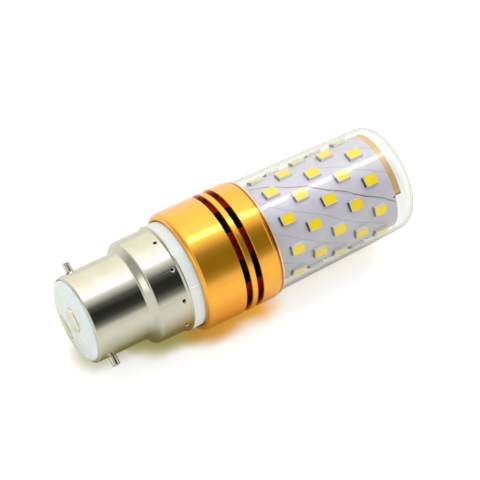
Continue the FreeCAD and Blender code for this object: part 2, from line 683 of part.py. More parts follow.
def slot_outline(sketch, centre_up, length, width):
    """A bar with half-round ends, lying across, drawn with quarter arcs."""
    half_length = length / 2
    half_width = width / 2
    straight = half_length - half_width
    low = centre_up - half_width
    high = centre_up + half_width
    points = [
        (-straight, low),
        (straight, low),
        (half_length, centre_up, half_width, 1),
        (straight, high, half_width, 1),
        (-straight, high),
        (-half_length, centre_up, half_width, 1),
        (-straight, low, half_width, 1),
    ]
    return draw_closed_arcs(sketch, points)


def draw_closed_arcs(sketch, points):
    """Closed outline whose last point repeats the first, so an arc can close it."""
    count = len(points) - 1
    first = points[-1]
    return draw_path(sketch, [first] + points[1:count], closed=True)


def make_cap_insulator():
    """Crowned disc held under the rolled edge, with seats and holes for the contacts."""
    neck = RIM_RADIUS - size.rim_gap
    rise = INSULATOR_CROWN - INSULATOR_SHOULDER
    flat = neck - size.insulator_shoulder
    crown_radius = (
        flat * flat + rise * rise - size.insulator_shoulder * size.insulator_shoulder
    ) / (2 * (rise - size.insulator_shoulder))
    meeting = flat * crown_radius / (crown_radius - size.insulator_shoulder)
    meeting_level = INSULATOR_CROWN - crown_radius + root(crown_radius * crown_radius - meeting * meeting)
    outline = [
        (0, INSULATOR_FOOT),
        (NOSE_RADIUS, INSULATOR_FOOT),
        (NOSE_RADIUS, BARREL_END),
        (neck, BARREL_END),
        (neck, INSULATOR_SHOULDER),
        (meeting, meeting_level, size.insulator_shoulder, 1),
        (0, INSULATOR_CROWN, crown_radius, 1),
    ]
    body = revolved_body("cap_insulator", outline)
    seats = []
    for sign, name in ((1, "back"), (-1, "front")):
        seat_sketch = new_sketch(body, f"{name}_seat_outline", "XY_Plane", lift=CONTACT_SEAT)
        slot_outline(
            seat_sketch,
            sign * size.contact_offset,
            size.contact_length + 2 * size.contact_fit,
            size.contact_width + 2 * size.contact_fit,
        )
        seats.append(("seat", name, seat_sketch, size.contact_thickness))
        hole_sketch = new_sketch(body, f"{name}_hole_outline", "XY_Plane", lift=INSULATOR_FOOT)
        circle(hole_sketch, 0, sign * size.contact_offset, size.lead_radius + size.lead_fit)
        seats.append(("hole", name, hole_sketch, CONTACT_SEAT - INSULATOR_FOOT))
    for kind, name, sketch, depth in seats:
        pocket = body.newObject("PartDesign::Pocket", f"{name}_{kind}")
        pocket.Profile = sketch
        pocket.Length = depth.value
        pocket.Reversed = True
        bind(pocket, Length=depth)


def make_contact_plate(label, sign):
    body = new_body(label)
    sketch = new_sketch(body, f"{label}_outline", "XY_Plane", lift=CONTACT_SEAT)
    slot_outline(sketch, sign * size.contact_offset, size.contact_length, size.contact_width)
    plate = add_feature(body, "PartDesign::Pad", f"{label}_pad", sketch)
    bind(plate, Length=size.contact_thickness)
    doc.recompute()
    top = CONTACT_SEAT + size.contact_thickness
    rim = edges_at(plate.Shape, lambda e: level_at(e, top))
    fillet_edges(body, f"{label}_round", plate, rim, size.contact_round)


def make_driver_housing():
    """Moulded cup: spigot in the sleeve, visible collar, neck in the skirt and nose in the barrel."""
    nose_start = FLARE_END - size.flare_round
    inner_step = nose_start - size.housing_wall
    dimple_seat = size.dimple_radius + size.shell_wall + size.shell_fit
    outline = [
        (0, HOUSING_END),
        (SPIGOT_RADIUS, HOUSING_END),
        (SPIGOT_RADIUS, SLEEVE_REAR - size.collar_round),
        (COLLAR_RADIUS - size.collar_round, SLEEVE_REAR - size.collar_round),
        (COLLAR_RADIUS, SLEEVE_REAR, size.collar_round, 1),
        (COLLAR_RADIUS, CAP_MOUTH),
        (NECK_RADIUS, CAP_MOUTH),
        (NECK_RADIUS, DIMPLE_LEVEL - dimple_seat - size.dimple_depth),
        (NECK_RADIUS - size.dimple_depth, DIMPLE_LEVEL - dimple_seat),
        (NECK_RADIUS - size.dimple_depth, DIMPLE_LEVEL + dimple_seat),
        (NECK_RADIUS, DIMPLE_LEVEL + dimple_seat + size.dimple_depth),
        (NECK_RADIUS, FLARE_START - size.shell_wall),
        (NOSE_RADIUS, nose_start),
        (NOSE_RADIUS, nose_start + size.nose_length),
        (NOSE_BORE, nose_start + size.nose_length),
        (NOSE_BORE, inner_step),
        (HOUSING_BORE, inner_step - (HOUSING_BORE - NOSE_BORE)),
        (HOUSING_BORE, HOUSING_FLOOR),
        (0, HOUSING_FLOOR),
    ]
    body = revolved_body("driver_housing", outline)
    rib_sketch = new_sketch(body, "rib_outline", "XY_Plane", lift=HOUSING_FLOOR)
    board_side = BOARD_HALF + size.board_fit
    for sign in (1, -1):
        near = sign * board_side
        far = sign * (board_side + size.rib_thickness)
        low, high = (near, far) if sign > 0 else (far, near)
        outer = HOUSING_BORE + size.housing_wall / 2
        rectangle(rib_sketch, BOARD_EDGE - size.rib_overlap, outer, low, high)
    ribs = add_feature(body, "PartDesign::Pad", "ribs", rib_sketch)
    bind(ribs, Length=inner_step - (HOUSING_BORE - NOSE_BORE) - HOUSING_FLOOR)
    doc.recompute()
    polar_pattern(body, "ribs_both_sides", [ribs], 2)
    hole_sketch = new_sketch(body, "lead_hole_outline", "XY_Plane", lift=HOUSING_END)
    for sign in (1, -1):
        circle(hole_sketch, sign * LED_LEAD_PLACE, LEAD_PLANE, size.lead_radius + size.lead_fit)
    holes = body.newObject("PartDesign::Pocket", "lead_holes")
    holes.Profile = hole_sketch
    holes.Length = size.housing_wall.value
    holes.Reversed = True
    bind(holes, Length=size.housing_wall)


def make_driver_board():
    board = doc.addObject("Part::Box", "driver_board")
    bind(
        board,
        Length=2 * BOARD_EDGE,
        Width=size.driver_board_thickness,
        Height=BOARD_TOP - HOUSING_FLOOR,
        Placement__Base__x=-BOARD_EDGE,
        Placement__Base__y=-BOARD_HALF,
        Placement__Base__z=HOUSING_FLOOR,
    )


def make_bulk_capacitor():
    """A can that lies on the board's back, its two legs bent down to the board."""
    can_end = CAPACITOR_FOOT + size.capacitor_length
    can_side = size.capacitor_radius
    bead = size.capacitor_bead
    bead_level = can_end - size.capacitor_bead_drop
    centre = BOARD_HALF + can_side
    outline = [
        (0, CAPACITOR_FOOT),
        (can_side - bead, CAPACITOR_FOOT),
        (can_side, CAPACITOR_FOOT + bead),
        (can_side, bead_level - bead),
        (can_side - bead, bead_level),
        (can_side, bead_level + bead),
        (can_side, can_end),
        (0, can_end),
    ]
    body = revolved_body("bulk_capacitor", outline)
    body.Placement.Base.y = centre.value
    body.setExpression("Placement.Base.y", centre.text)
    legs_sketch = new_sketch(body, "capacitor_legs_outline", "XY_Plane", lift=can_end)
    down_sketch = new_sketch(body, "capacitor_feet_outline", "XZ_Plane")
    for sign in (1, -1):
        across = sign * size.capacitor_leg_spacing / 2
        circle(legs_sketch, across, 0, size.wire_radius)
        circle(down_sketch, across, can_end + size.wire_rise, size.wire_radius)
    legs = add_feature(body, "PartDesign::Pad", "capacitor_legs", legs_sketch)
    bind(legs, Length=size.wire_rise)
    feet = add_feature(body, "PartDesign::Pad", "capacitor_feet", down_sketch)
    bind(feet, Length=can_side)


def make_fusible_resistor():
    """A round body across the board, its wire ends bent down to the board."""
    body = new_body("fusible_resistor")
    off_board = BOARD_HALF + size.resistor_radius
    reach = size.resistor_length / 2 + size.wire_rise
    for name, radius, half in (
        ("resistor_body", size.resistor_radius, size.resistor_length / 2),
        ("resistor_wire", size.wire_radius, reach),
    ):
        sketch = new_sketch(body, f"{name}_outline", "YZ_Plane")
        circle(sketch, off_board, RESISTOR_LEVEL, radius)
        rod = add_feature(body, "PartDesign::Pad", name, sketch)
        rod.Midplane = True
        bind(rod, Length=2 * half)
    feet_sketch = new_sketch(body, "resistor_feet_outline", "XZ_Plane", lift=-off_board)
    for sign in (1, -1):
        circle(feet_sketch, sign * reach, RESISTOR_LEVEL, size.wire_radius)
    feet = add_feature(body, "PartDesign::Pad", "resistor_feet", feet_sketch)
    bind(feet, Length=size.resistor_radius)


def make_film_capacitor():
    """A moulded block that stands on the board's back."""
    body = new_body("film_capacitor")
    half = size.film_capacitor_width / 2
    top = FILM_CAPACITOR_FOOT + size.film_capacitor_length
    sketch = new_sketch(body, "film_capacitor_outline", "XZ_Plane", lift=-BOARD_HALF)
    rectangle(sketch, -half, half, FILM_CAPACITOR_FOOT, top)
    block = add_feature(body, "PartDesign::Pad", "film_capacitor_block", sketch)
    block.Reversed = True
    bind(block, Length=size.film_capacitor_height)
    doc.recompute()
    uprights = edges_at(block.Shape, lambda e: e.BoundBox.YLength > 1.0)
    fillet_edges(body, "film_capacitor_rounding", block, uprights, size.film_capacitor_round)


def make_power_inductor():
    """A drum core whose axis stands off the board's front."""
    flange_top = size.inductor_height - size.inductor_flange
    outline = [
        (0, 0),
        (size.inductor_flange_radius, 0),
        (size.inductor_flange_radius, size.inductor_flange),
        (size.inductor_winding_radius, size.inductor_flange),
        (size.inductor_winding_radius, flange_top),
        (size.inductor_flange_radius, flange_top),
        (size.inductor_flange_radius, size.inductor_height),
        (0, size.inductor_height),
    ]
    body = revolved_body("power_inductor", outline)
    tipped = FreeCAD.Rotation(FreeCAD.Vector(1, 0, 0), 90)
    base = FreeCAD.Vector(0, -BOARD_HALF.value, INDUCTOR_LEVEL.value)
    body.Placement = FreeCAD.Placement(base, tipped)
    bind(body, Placement__Base__y=-BOARD_HALF, Placement__Base__z=INDUCTOR_LEVEL)


def make_chip(label, width, length, level, leg_pitch, legs_each_side):
    """A flat package on the board's front with a row of legs at each side."""
    body = new_body(label)
    legs_sketch = new_sketch(body, f"{label}_legs_outline", "XZ_Plane", lift=BOARD_HALF)
    inside = width / 2 - size.chip_leg_reach / 2
    outside = width / 2 + size.chip_leg_reach
    for leg in range(legs_each_side):
        middle = level + (leg - (legs_each_side - 1) / 2) * leg_pitch
        low = middle - size.chip_leg_width / 2
        high = middle + size.chip_leg_width / 2
        rectangle(legs_sketch, inside, outside, low, high)
        rectangle(legs_sketch, -outside, -inside, low, high)
    legs = add_feature(body, "PartDesign::Pad", f"{label}_legs", legs_sketch)
    bind(legs, Length=size.chip_leg_height)
    case_sketch = new_sketch(
        body, f"{label}_case_outline", "XZ_Plane", lift=BOARD_HALF + size.chip_standoff
    )
    rectangle(case_sketch, -width / 2, width / 2, level - length / 2, level + length / 2)
    case = add_feature(body, "PartDesign::Pad", f"{label}_case", case_sketch)
    bind(case, Length=size.chip_height)


def make_pipe(label, role, points, lift=0.0):
    """A round lead swept along straight runs joined by tangent arcs."""
    body = new_body(label)
    path = draw_path(new_sketch(body, f"{label}_path", role, lift=lift), points, closed=False)
    start_across, start_up = as_size(points[0][0]), as_size(points[0][1])
    ring = new_sketch(body, f"{label}_section", "XY_Plane", lift=start_up)
    if role == "XZ_Plane":
        circle(ring, start_across, -as_size(lift), size.lead_radius)
    else:
        circle(ring, as_size(lift), start_across, size.lead_radius)
    pipe = body.newObject("PartDesign::AdditivePipe", f"{label}_swept")
    pipe.Profile = ring
    doc.recompute()
    pipe.Spine = (path, [f"Edge{i}" for i in range(1, len(points))])
    return body


def s_bend(across, up, to_across, drop, side):
    """Two tangent arcs that shift an upright run sideways; side is +1 where it first turns left."""
    shift = to_across - across
    radius = (shift * shift + drop * drop) / (4 * abs_size(shift))
    return [
        ((across + to_across) / 2, up - drop / 2, radius, side),
        (to_across, up - drop, radius, -side),
    ]


def abs_size(value):
    return value if value.value > 0 else -value


def make_supply_lead(label, sign):
    """From a contact plate's underside, through the insulator and on to the driver board."""
    at_contact = sign * size.contact_offset
    at_board = sign * LEAD_PLANE
    points = [(at_contact, CONTACT_SEAT), (at_contact, SUPPLY_BEND_START)]
    points += s_bend(at_contact, SUPPLY_BEND_START, at_board, size.supply_lead_bend, -sign)
    points.append((at_board, SUPPLY_LEAD_END))
    make_pipe(label, "YZ_Plane", points)


def make_led_lead(label, sign):
    """From the driver board, through the housing's floor and out through the core and led board."""
    inset = sign * LED_LEAD_PLACE
    run = sign * (CORE_RADIUS - size.core_wall - size.lead_radius - size.led_lead_wall_gap)
    bend_start = HOUSING_END - size.lead_radius
    bend_end = bend_start - size.led_lead_bend
    exit_level = LED_BOARD_TAIL - size.led_lead_exit
    turn = 2 * size.lead_radius
    start = run - sign * turn
    points = [(inset, HOUSING_FLOOR + size.led_lead_tail), (inset, bend_start)]
    points += s_bend(inset, bend_start, start, size.led_lead_bend, sign)
    points.append((start, exit_level + turn))
    points.append((run, exit_level, turn, sign))
    points.append((sign * (LED_BOARD_RADIUS + size.led_lead_proud), exit_level))
    make_pipe(label, "XZ_Plane", points, lift=-LEAD_PLANE)


def make_core_tube():
    """Thin tube with a wider end pressed in the sleeve; it carries the rolled board."""
    head = BOARD_HEAD_END + size.core_set_back
    bore = CORE_RADIUS - size.core_wall
    outline = [
        (bore, head),
        (CORE_RADIUS, head),
        (CORE_RADIUS, LED_BOARD_TAIL),
        (CORE_SEAT_RADIUS, LED_BOARD_TAIL),
        (CORE_SEAT_RADIUS, CORE_SEAT_END),
        (bore, CORE_SEAT_END),
    ]
    body = revolved_body("core_tube", outline)
    cut_lead_holes(body, "core_lead_holes")


def cut_lead_holes(body, name):
    sketch = new_sketch(body, f"{name}_outline", "YZ_Plane")
    circle(sketch, LEAD_PLANE, LED_BOARD_TAIL - size.led_lead_exit, size.lead_radius + size.lead_fit)
    holes = body.newObject("PartDesign::Pocket", name)
    holes.Profile = sketch
    holes.Type = "ThroughAll"
    holes.Midplane = True


def make_led_board():
    """The rolled sheet: a tube opened by one slanting seam, which runs between the leds."""
    outline = [
        (LED_BOARD_BORE, BOARD_HEAD_END),
        (LED_BOARD_RADIUS, BOARD_HEAD_END),
        (LED_BOARD_RADIUS, LED_BOARD_TAIL),
        (LED_BOARD_BORE, LED_BOARD_TAIL),
    ]
    body = revolved_body("led_board", outline)
    cut_lead_holes(body, "board_lead_holes")
    doc.recompute()
    sketch = new_sketch(body, "seam_section", "XZ_Plane", turn=size.seam_turn)
    steepness = size.seam_lead / (2 * math.pi * LED_BOARD_RADIUS)
    half_tall = size.seam_width * root(1 + steepness * steepness) / 2
    inside = LED_BOARD_BORE - CUT_OVERRUN / 2
    outside = LED_BOARD_RADIUS + CUT_OVERRUN / 2
    rectangle(sketch, inside, outside, -half_tall, half_tall)
    seam = body.newObject("PartDesign::SubtractiveHelix", "seam")
    seam.Profile = sketch
    seam.ReferenceAxis = (sketch, ["V_Axis"])
    seam.Mode = 0
    seam.Pitch = size.seam_lead.value
    seam.Height = COVER_RIM.value
    bind(seam, Pitch=size.seam_lead, Height=COVER_RIM)


def make_end_strip():
    """The sheet's bare copper margin, which stands past the board's head edge."""
    body = new_body("board_end_strip")
    sketch = new_sketch(body, "strip_section", "XZ_Plane")
    middle = LED_BOARD_BORE + size.led_board_thickness / 2
    inner = middle - size.strip_thickness / 2
    rectangle(sketch, inner, inner + size.strip_thickness, STRIP_END, BOARD_HEAD_END)
    strip = revolve(body, "strip_turned", sketch, angle=size.strip_angle)
    strip.Midplane = True
    place(body, turn=size.strip_turn)


def make_led_ring(number):
    """One ring of packages, their phosphor windows and their end terminals."""
    level = FIRST_RING + (number - 1) * RING_PITCH
    stagger = 180 / size.led_count if number % 2 == 0 else as_size(0.0)
    turn = size.led_turn + stagger
    top = LED_BOARD_RADIUS + size.led_height
    half_width = size.led_width / 2
    half_length = size.led_length / 2

    packages = new_body(f"led_packages_{number}")
    outline = new_sketch(packages, f"package_outline_{number}", "YZ_Plane", lift=LED_BOARD_RADIUS)
    rectangle(outline, -half_width, half_width, -half_length, half_length)
    package = add_feature(packages, "PartDesign::Pad", f"package_{number}", outline)
    bind(package, Length=size.led_height)
    well_sketch = new_sketch(packages, f"well_outline_{number}", "YZ_Plane", lift=top)
    window_outline(well_sketch)
    well = add_feature(packages, "PartDesign::Pocket", f"well_{number}", well_sketch)
    bind(well, Length=size.window_set_back + size.window_depth)
    polar_pattern(packages, f"packages_round_{number}", [package, well], size.led_count)
    place(packages, turn=turn, lift=level)

    windows = new_body(f"led_windows_{number}")
    window_sketch = new_sketch(
        windows, f"window_outline_{number}", "YZ_Plane", lift=top - size.window_set_back
    )
    window_outline(window_sketch)
    window = add_feature(windows, "PartDesign::Pad", f"window_{number}", window_sketch)
    bind(window, Length=size.window_depth)
    window.Reversed = True
    polar_pattern(windows, f"windows_round_{number}", [window], size.led_count)
    place(windows, turn=turn, lift=level)

    terminals = new_body(f"led_terminals_{number}")
    ends = new_sketch(terminals, f"terminal_outline_{number}", "YZ_Plane", lift=LED_BOARD_RADIUS)
    half_terminal = size.terminal_width / 2
    far = half_length + size.terminal_length
    rectangle(ends, -half_terminal, half_terminal, half_length, far)
    rectangle(ends, -half_terminal, half_terminal, -far, -half_length)
    terminal = add_feature(terminals, "PartDesign::Pad", f"terminal_{number}", ends)
    bind(terminal, Length=size.terminal_height)
    polar_pattern(terminals, f"terminals_round_{number}", [terminal], size.led_count)
    place(terminals, turn=turn, lift=level)


def window_outline(sketch):
    """A rectangle with cut corners."""
    wide = size.window_width / 2
    tall = size.window_length / 2
    cut = size.window_corner
    points = [
        (-wide + cut, -tall),
        (wide - cut, -tall),
        (wide, -tall + cut),
        (wide, tall - cut),
        (wide - cut, tall),
        (-wide + cut, tall),
        (-wide, tall - cut),
        (-wide, -tall + cut),
    ]
    return draw_path(sketch, points, closed=True)


def main():
    make_clear_cover()
    make_heat_sleeve()
    make_cap_shell()
    make_bayonet_pin("bayonet_pin_right", 0.0)
    make_bayonet_pin("bayonet_pin_left", 180.0)
    make_cap_insulator()
    make_contact_plate("contact_plate_back", 1)
    make_contact_plate("contact_plate_front", -1)
    make_driver_housing()
    make_driver_board()
    make_bulk_capacitor()
    make_fusible_resistor()
    make_film_capacitor()
    make_power_inductor()
    make_chip(
        "driver_chip",
        size.driver_chip_width,
        size.driver_chip_length,
        DRIVER_CHIP_LEVEL,
        size.driver_chip_leg_pitch,
        legs_each_side=4,
    )
    make_chip(
        "bridge_rectifier",
        size.rectifier_width,
        size.rectifier_length,
        RECTIFIER_LEVEL,
        size.rectifier_leg_pitch,
        legs_each_side=2,
    )
    make_supply_lead("supply_lead_back", 1)
    make_supply_lead("supply_lead_front", -1)
    make_led_lead("led_lead_plus", 1)
    make_led_lead("led_lead_minus", -1)
    make_core_tube()
    make_led_board()
    make_end_strip()
    for number in range(1, LED_RINGS + 1):
        make_led_ring(number)
    doc.recompute()
    export_pieces()


def export_pieces():
    for item in doc.Objects:
        if "Invalid" in item.State or "Error" in item.State:
            raise RuntimeError(f"{item.Label} failed: {item.State}")
    pieces = [item for item in doc.Objects if item.TypeId in ("PartDesign::Body", "Part::Box")]
    for piece in pieces:
        if piece.Shape.isNull() or not piece.Shape.isValid():
            raise RuntimeError(f"{piece.Label} has no valid shape")
    os.makedirs("parts", exist_ok=True)
    for piece in pieces:
        piece.Shape.exportStep(f"parts/{piece.Label}.step")
        print(piece.Label, len(piece.Shape.Solids), round(piece.Shape.Volume, 3))


main()
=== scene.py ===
import math

import bpy
from mathutils import Matrix, Vector


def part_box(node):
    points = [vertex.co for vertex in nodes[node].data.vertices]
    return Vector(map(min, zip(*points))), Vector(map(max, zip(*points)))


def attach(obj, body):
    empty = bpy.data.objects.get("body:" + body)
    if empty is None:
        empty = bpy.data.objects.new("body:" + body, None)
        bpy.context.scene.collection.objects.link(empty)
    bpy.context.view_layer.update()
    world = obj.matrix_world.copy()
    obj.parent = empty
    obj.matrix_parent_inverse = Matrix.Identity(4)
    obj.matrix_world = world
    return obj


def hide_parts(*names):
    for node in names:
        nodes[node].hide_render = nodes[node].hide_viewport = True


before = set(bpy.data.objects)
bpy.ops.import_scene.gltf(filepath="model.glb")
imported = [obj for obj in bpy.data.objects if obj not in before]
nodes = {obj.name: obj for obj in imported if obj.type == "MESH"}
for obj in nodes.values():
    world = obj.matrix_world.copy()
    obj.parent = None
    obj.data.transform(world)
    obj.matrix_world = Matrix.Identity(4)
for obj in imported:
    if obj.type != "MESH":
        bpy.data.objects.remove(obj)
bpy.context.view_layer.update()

# Corn led bulb that stands on its clear head, cap upwards. Lengths are in metres and the axis is +Z.
# Levels and outer radii come from the frame. The other sizes repeat those of the solids, apart from small
# trim and the seam, which is narrower here.

MM = 0.001


def low(node):
    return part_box(node)[0]


def high(node):
    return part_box(node)[1]


# Levels along the axis
COVER_RIM = high("clear_cover").z
SLEEVE_FRONT = low("heat_sleeve").z
SLEEVE_REAR = high("heat_sleeve").z
CAP_MOUTH = low("cap_shell").z
CAP_END = high("cap_shell").z
PIN_LEVEL = (low("bayonet_pin_right").z + high("bayonet_pin_right").z) / 2
HOUSING_END = low("driver_housing").z
BOARD_LOW = low("led_board").z
BOARD_HIGH = high("led_board").z

# Radii
SLEEVE_RADIUS = high("heat_sleeve").x
MOUTH_RADIUS = high("cap_shell").x
COVER_RADIUS = 14.29 * MM
SLEEVE_BORE = 12.1 * MM
GROOVE_FLOOR = 12.8 * MM
COLLAR_RADIUS = 13.4 * MM
SKIRT_RADIUS = 13.05 * MM
BARREL_RADIUS = 11.0 * MM
BOARD_RADIUS = high("led_board").y
BOARD_THICKNESS = 0.5 * MM

# Columns round a turned piece, one for each degree; the cap and its pins have numbers of their own
ROUND = 360

# The sleeve's grooves in metres, and the slots through their floors in degrees
FIRST_GROOVE = SLEEVE_FRONT + 6.05 * MM
GROOVE_WIDTH = 1.6 * MM
GROOVE_PITCH = 3.05 * MM
SLOT_TURN = -5.7
SLOT_ANGLE = 30
SLOT_COUNT = 6

# The cap's punched dimples: level, radius of one, and the depth from which its pit gets painted shade
DIMPLE_LEVEL = CAP_MOUTH + 1.88 * MM
DIMPLE_REACH = 0.62 * MM
PIT_SHADE_START = 0.16 * MM

# The rolled board's seam: degrees at the head face, height of a whole turn, width, wander and jogs
SEAM_TURN = 213.4
SEAM_LEAD = 118.8 * MM
SEAM_WIDTH = 0.12 * MM
SEAM_PHASE = 23.3 * MM
SEAM_WAVE = 8 * MM
SEAM_JOGS = ((24.9 * MM, 1.0), (15.6 * MM, -1.0))

# The copper strip's end as a share of a turn from the -X side, and the number of slanting lines
STRIP_END = (237.3 - 180) / 360
TRACES = 10

# The rings of leds on the board
LED_RINGS = 5
LEDS = 10
LED_TURN = 14.8
LED_START = 10.3 * MM
LED_PITCH = 5.825 * MM


# Meshes


def arc(centre, radius, start, end, steps):
    """Points on an arc in the (radius, level) plane, angles in degrees."""
    points = []
    for i in range(steps + 1):
        angle = math.radians(start + (end - start) * i / steps)
        points.append((centre[0] + radius * math.cos(angle), centre[1] + radius * math.sin(angle)))
    return points


def new_piece(name, vertices, faces, sharp=35):
    """An object with smooth shading, split at edges over an angle in degrees."""
    mesh = bpy.data.meshes.new(name)
    mesh.from_pydata([tuple(v) for v in vertices], [], faces)
    mesh.validate()
    mesh.update()
    mesh.shade_smooth()
    mesh.set_sharp_from_angle(angle=math.radians(sharp))
    piece = bpy.data.objects.new(name, mesh)
    bpy.context.scene.collection.objects.link(piece)
    return piece


def dress(piece, material, slot, *stands_for):
    """Gives a piece its material and its body, and hides the nodes that it stands for; slot is not used."""
    piece.data.materials.clear()
    piece.data.materials.append(material)
    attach(piece, "root")
    if stands_for:
        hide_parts(*stands_for)
    return piece


def lathe(outline, steps=ROUND, start=0.0, closed=True, skip=None, shift=None):
    """Turns an outline of (radius, level) points about the axis.

    A point on the axis becomes one vertex. skip(edge, column) leaves a face out and shift(point, angle)
    moves a vertex; both are optional.
    """
    vertices = []
    rings = []
    for radius, level in outline:
        if radius < 1e-7:
            rings.append([len(vertices)] * steps)
            vertices.append(Vector((0, 0, level)))
            continue
        ring = []
        for column in range(steps):
            angle = math.radians(start) + 2 * math.pi * column / steps
            point = Vector((radius * math.cos(angle), radius * math.sin(angle), level))
            if shift:
                point = shift(point, angle)
            ring.append(len(vertices))
            vertices.append(point)
        rings.append(ring)
    faces = []
    count = len(outline)
    for edge in range(count if closed else count - 1):
        here = rings[edge]
        there = rings[(edge + 1) % count]
        for column in range(steps):
            if skip and skip(edge, column):
                continue
            after = (column + 1) % steps
            face = [here[column], here[after], there[after], there[column]]
            unique = list(dict.fromkeys(face))
            if len(unique) > 2:
                faces.append(unique)
    return vertices, faces, rings


def tube_faces(count, layers):
    """Faces of a tube of so many layers with `count` vertices each, closed at both ends."""
    faces = [list(range(count - 1, -1, -1))]
    for layer in range(layers - 1):
        for k in range(count):
            after = (k + 1) % count
            a = layer * count
            faces.append([a + k, a + after, a + count + after, a + count + k])
    faces.append([(layers - 1) * count + k for k in range(count)])
    return faces


def loft(layers):
    """Joins flat outlines of equal length, each with its level, closed at both ends."""
    vertices = [(x, y, level) for outline, level in layers for x, y in outline]
    return vertices, tube_faces(len(layers[0][0]), len(layers))


# Materials


def new_material(name, **values):
    """A node material whose Principled shader has the given constant sockets."""
    material = bpy.data.materials.new(name)
    material.use_nodes = True
    shader = material.node_tree.nodes["Principled BSDF"]
    for key, value in values.items():
        shader.inputs[key.replace("_", " ")].default_value = value
    return material, shader


def add(material, kind, **values):
    node = material.node_tree.nodes.new(kind)
    for key, value in values.items():
        if hasattr(node, key):
            setattr(node, key, value)
        else:
            node.inputs[key.replace("_", " ")].default_value = value
    return node


def link(material, source, target):
    material.node_tree.links.new(source, target)


def object_space(material, scale):
    """Object coordinates stretched by a scale for each axis."""
    place = add(material, "ShaderNodeTexCoord")
    mapping = add(material, "ShaderNodeMapping")
    mapping.inputs["Scale"].default_value = scale
    link(material, place.outputs["Object"], mapping.inputs["Vector"])
    return mapping.outputs["Vector"]


def noise(material, size, detail=3.0, stretch=(1, 1, 1)):
    """Noise whose blobs are about `size` metres across."""
    node = add(material, "ShaderNodeTexNoise", Scale=1 / size, Detail=detail)
    link(material, object_space(material, stretch), node.inputs["Vector"])
    return node.outputs["Fac"]


def ramp(material, factor, stops):
    """A colour ramp with (place, colour) stops."""
    node = add(material, "ShaderNodeValToRGB")
    elements = node.color_ramp.elements
    while len(elements) < len(stops):
        elements.new(0.5)
    for element, (place, colour) in zip(elements, stops):
        element.position = place
        element.color = colour if len(colour) == 4 else (*colour, 1)
    link(material, factor, node.inputs["Fac"])
    return node.outputs["Color"]


def spread(material, factor, lowest, highest):
    """Maps a factor of 0 to 1 onto a range."""
    node = add(material, "ShaderNodeMapRange")
    node.inputs["To Min"].default_value = lowest
    node.inputs["To Max"].default_value = highest
    link(material, factor, node.inputs["Value"])
    return node.outputs["Result"]


def mix_colour(material, factor, first, second):
    """Mixes two colours, each a node output or a constant."""
    node = add(material, "ShaderNodeMix", data_type="RGBA")
    for name, value in (("Factor", factor), ("A", first), ("B", second)):
        socket = [s for s in node.inputs if s.name == name and s.enabled][0]
        if isinstance(value, (int, float, tuple)):
            socket.default_value = value
        else:
            link(material, value, socket)
    return [s for s in node.outputs if s.enabled][0]


def math_node(material, operation, *values):
    """One step of arithmetic on node outputs or numbers."""
    node = add(material, "ShaderNodeMath", operation=operation)
    for i, value in enumerate(values):
        if isinstance(value, (int, float)):
            node.inputs[i].default_value = value
        else:
            link(material, value, node.inputs[i])
    return node.outputs["Value"]


def bump(material, shader, height, depth, strength):
    """Bends the shader's normal by a height, of which 1 stands for a depth in metres."""
    node = add(material, "ShaderNodeBump")
    node.inputs["Strength"].default_value = strength
    node.inputs["Distance"].default_value = depth
    link(material, height, node.inputs["Height"])
    link(material, node.outputs["Normal"], shader.inputs["Normal"])


def turning_lines(material, pitch):
    """Fine lines round the axis, as a turning tool leaves: noise stretched round and dense along Z."""
    return noise(material, pitch, 2.0, stretch=(0.02, 0.02, 1))


def surface_place(material):
    """The X, Y and Z of a point of the surface, in the object's own space."""
    place = add(material, "ShaderNodeTexCoord")
    split = add(material, "ShaderNodeSeparateXYZ")
    link(material, place.outputs["Object"], split.inputs["Vector"])
    return [split.outputs[axis] for axis in "XYZ"]


def axis_distance(material, x, y):
    """How far a point of the surface is from the axis."""
    across = math_node(material, "POWER", x, 2.0)
    along = math_node(material, "POWER", y, 2.0)
    return math_node(material, "SQRT", math_node(material, "ADD", across, along))


def share_of_turn(material, x, y, start):
    """A point's direction round the axis as a share of a turn, where +X is at start."""
    turn = math_node(material, "ARCTAN2", y, x)
    return math_node(material, "MULTIPLY_ADD", turn, 1 / (2 * math.pi), start)


def make_nickel():
    """Bright plating with fine lines and small waves, with painted shade, near black, in the pits of the
    punched dimples.
    """
    material, shader = new_material("nickel_plate", Metallic=1.0)
    grain = turning_lines(material, 0.25 * MM)
    blotch = noise(material, 4 * MM, 3)
    tint = ramp(material, blotch, [(0.35, (0.60, 0.592, 0.525)), (0.65, (0.64, 0.632, 0.565))])
    x, y, z = surface_place(material)
    # Painted shade: the pits of the dimples are coloured near black, standing in for the shade inside them.
    away = math_node(material, "SUBTRACT", z, DIMPLE_LEVEL)
    sunk = math_node(material, "LESS_THAN", axis_distance(material, x, y), SKIRT_RADIUS - PIT_SHADE_START)
    near = math_node(material, "LESS_THAN", math_node(material, "ABSOLUTE", away), DIMPLE_REACH)
    painted_pit_shade = math_node(material, "MULTIPLY", sunk, near)
    link(material, mix_colour(material, painted_pit_shade, tint, (0.07, 0.065, 0.055, 1)), shader.inputs["Base Color"])
    uneven = spread(material, grain, -0.03, 0.03)
    rough = math_node(material, "ADD", uneven, spread(material, blotch, 0.09, 0.16))
    link(material, rough, shader.inputs["Roughness"])
    waves = noise(material, 1.4 * MM, 2, stretch=(0.3, 0.3, 1))
    height = math_node(material, "MULTIPLY_ADD", waves, 8.0, grain)
    bump(material, shader, height, 0.004 * MM, 0.6)
    return material


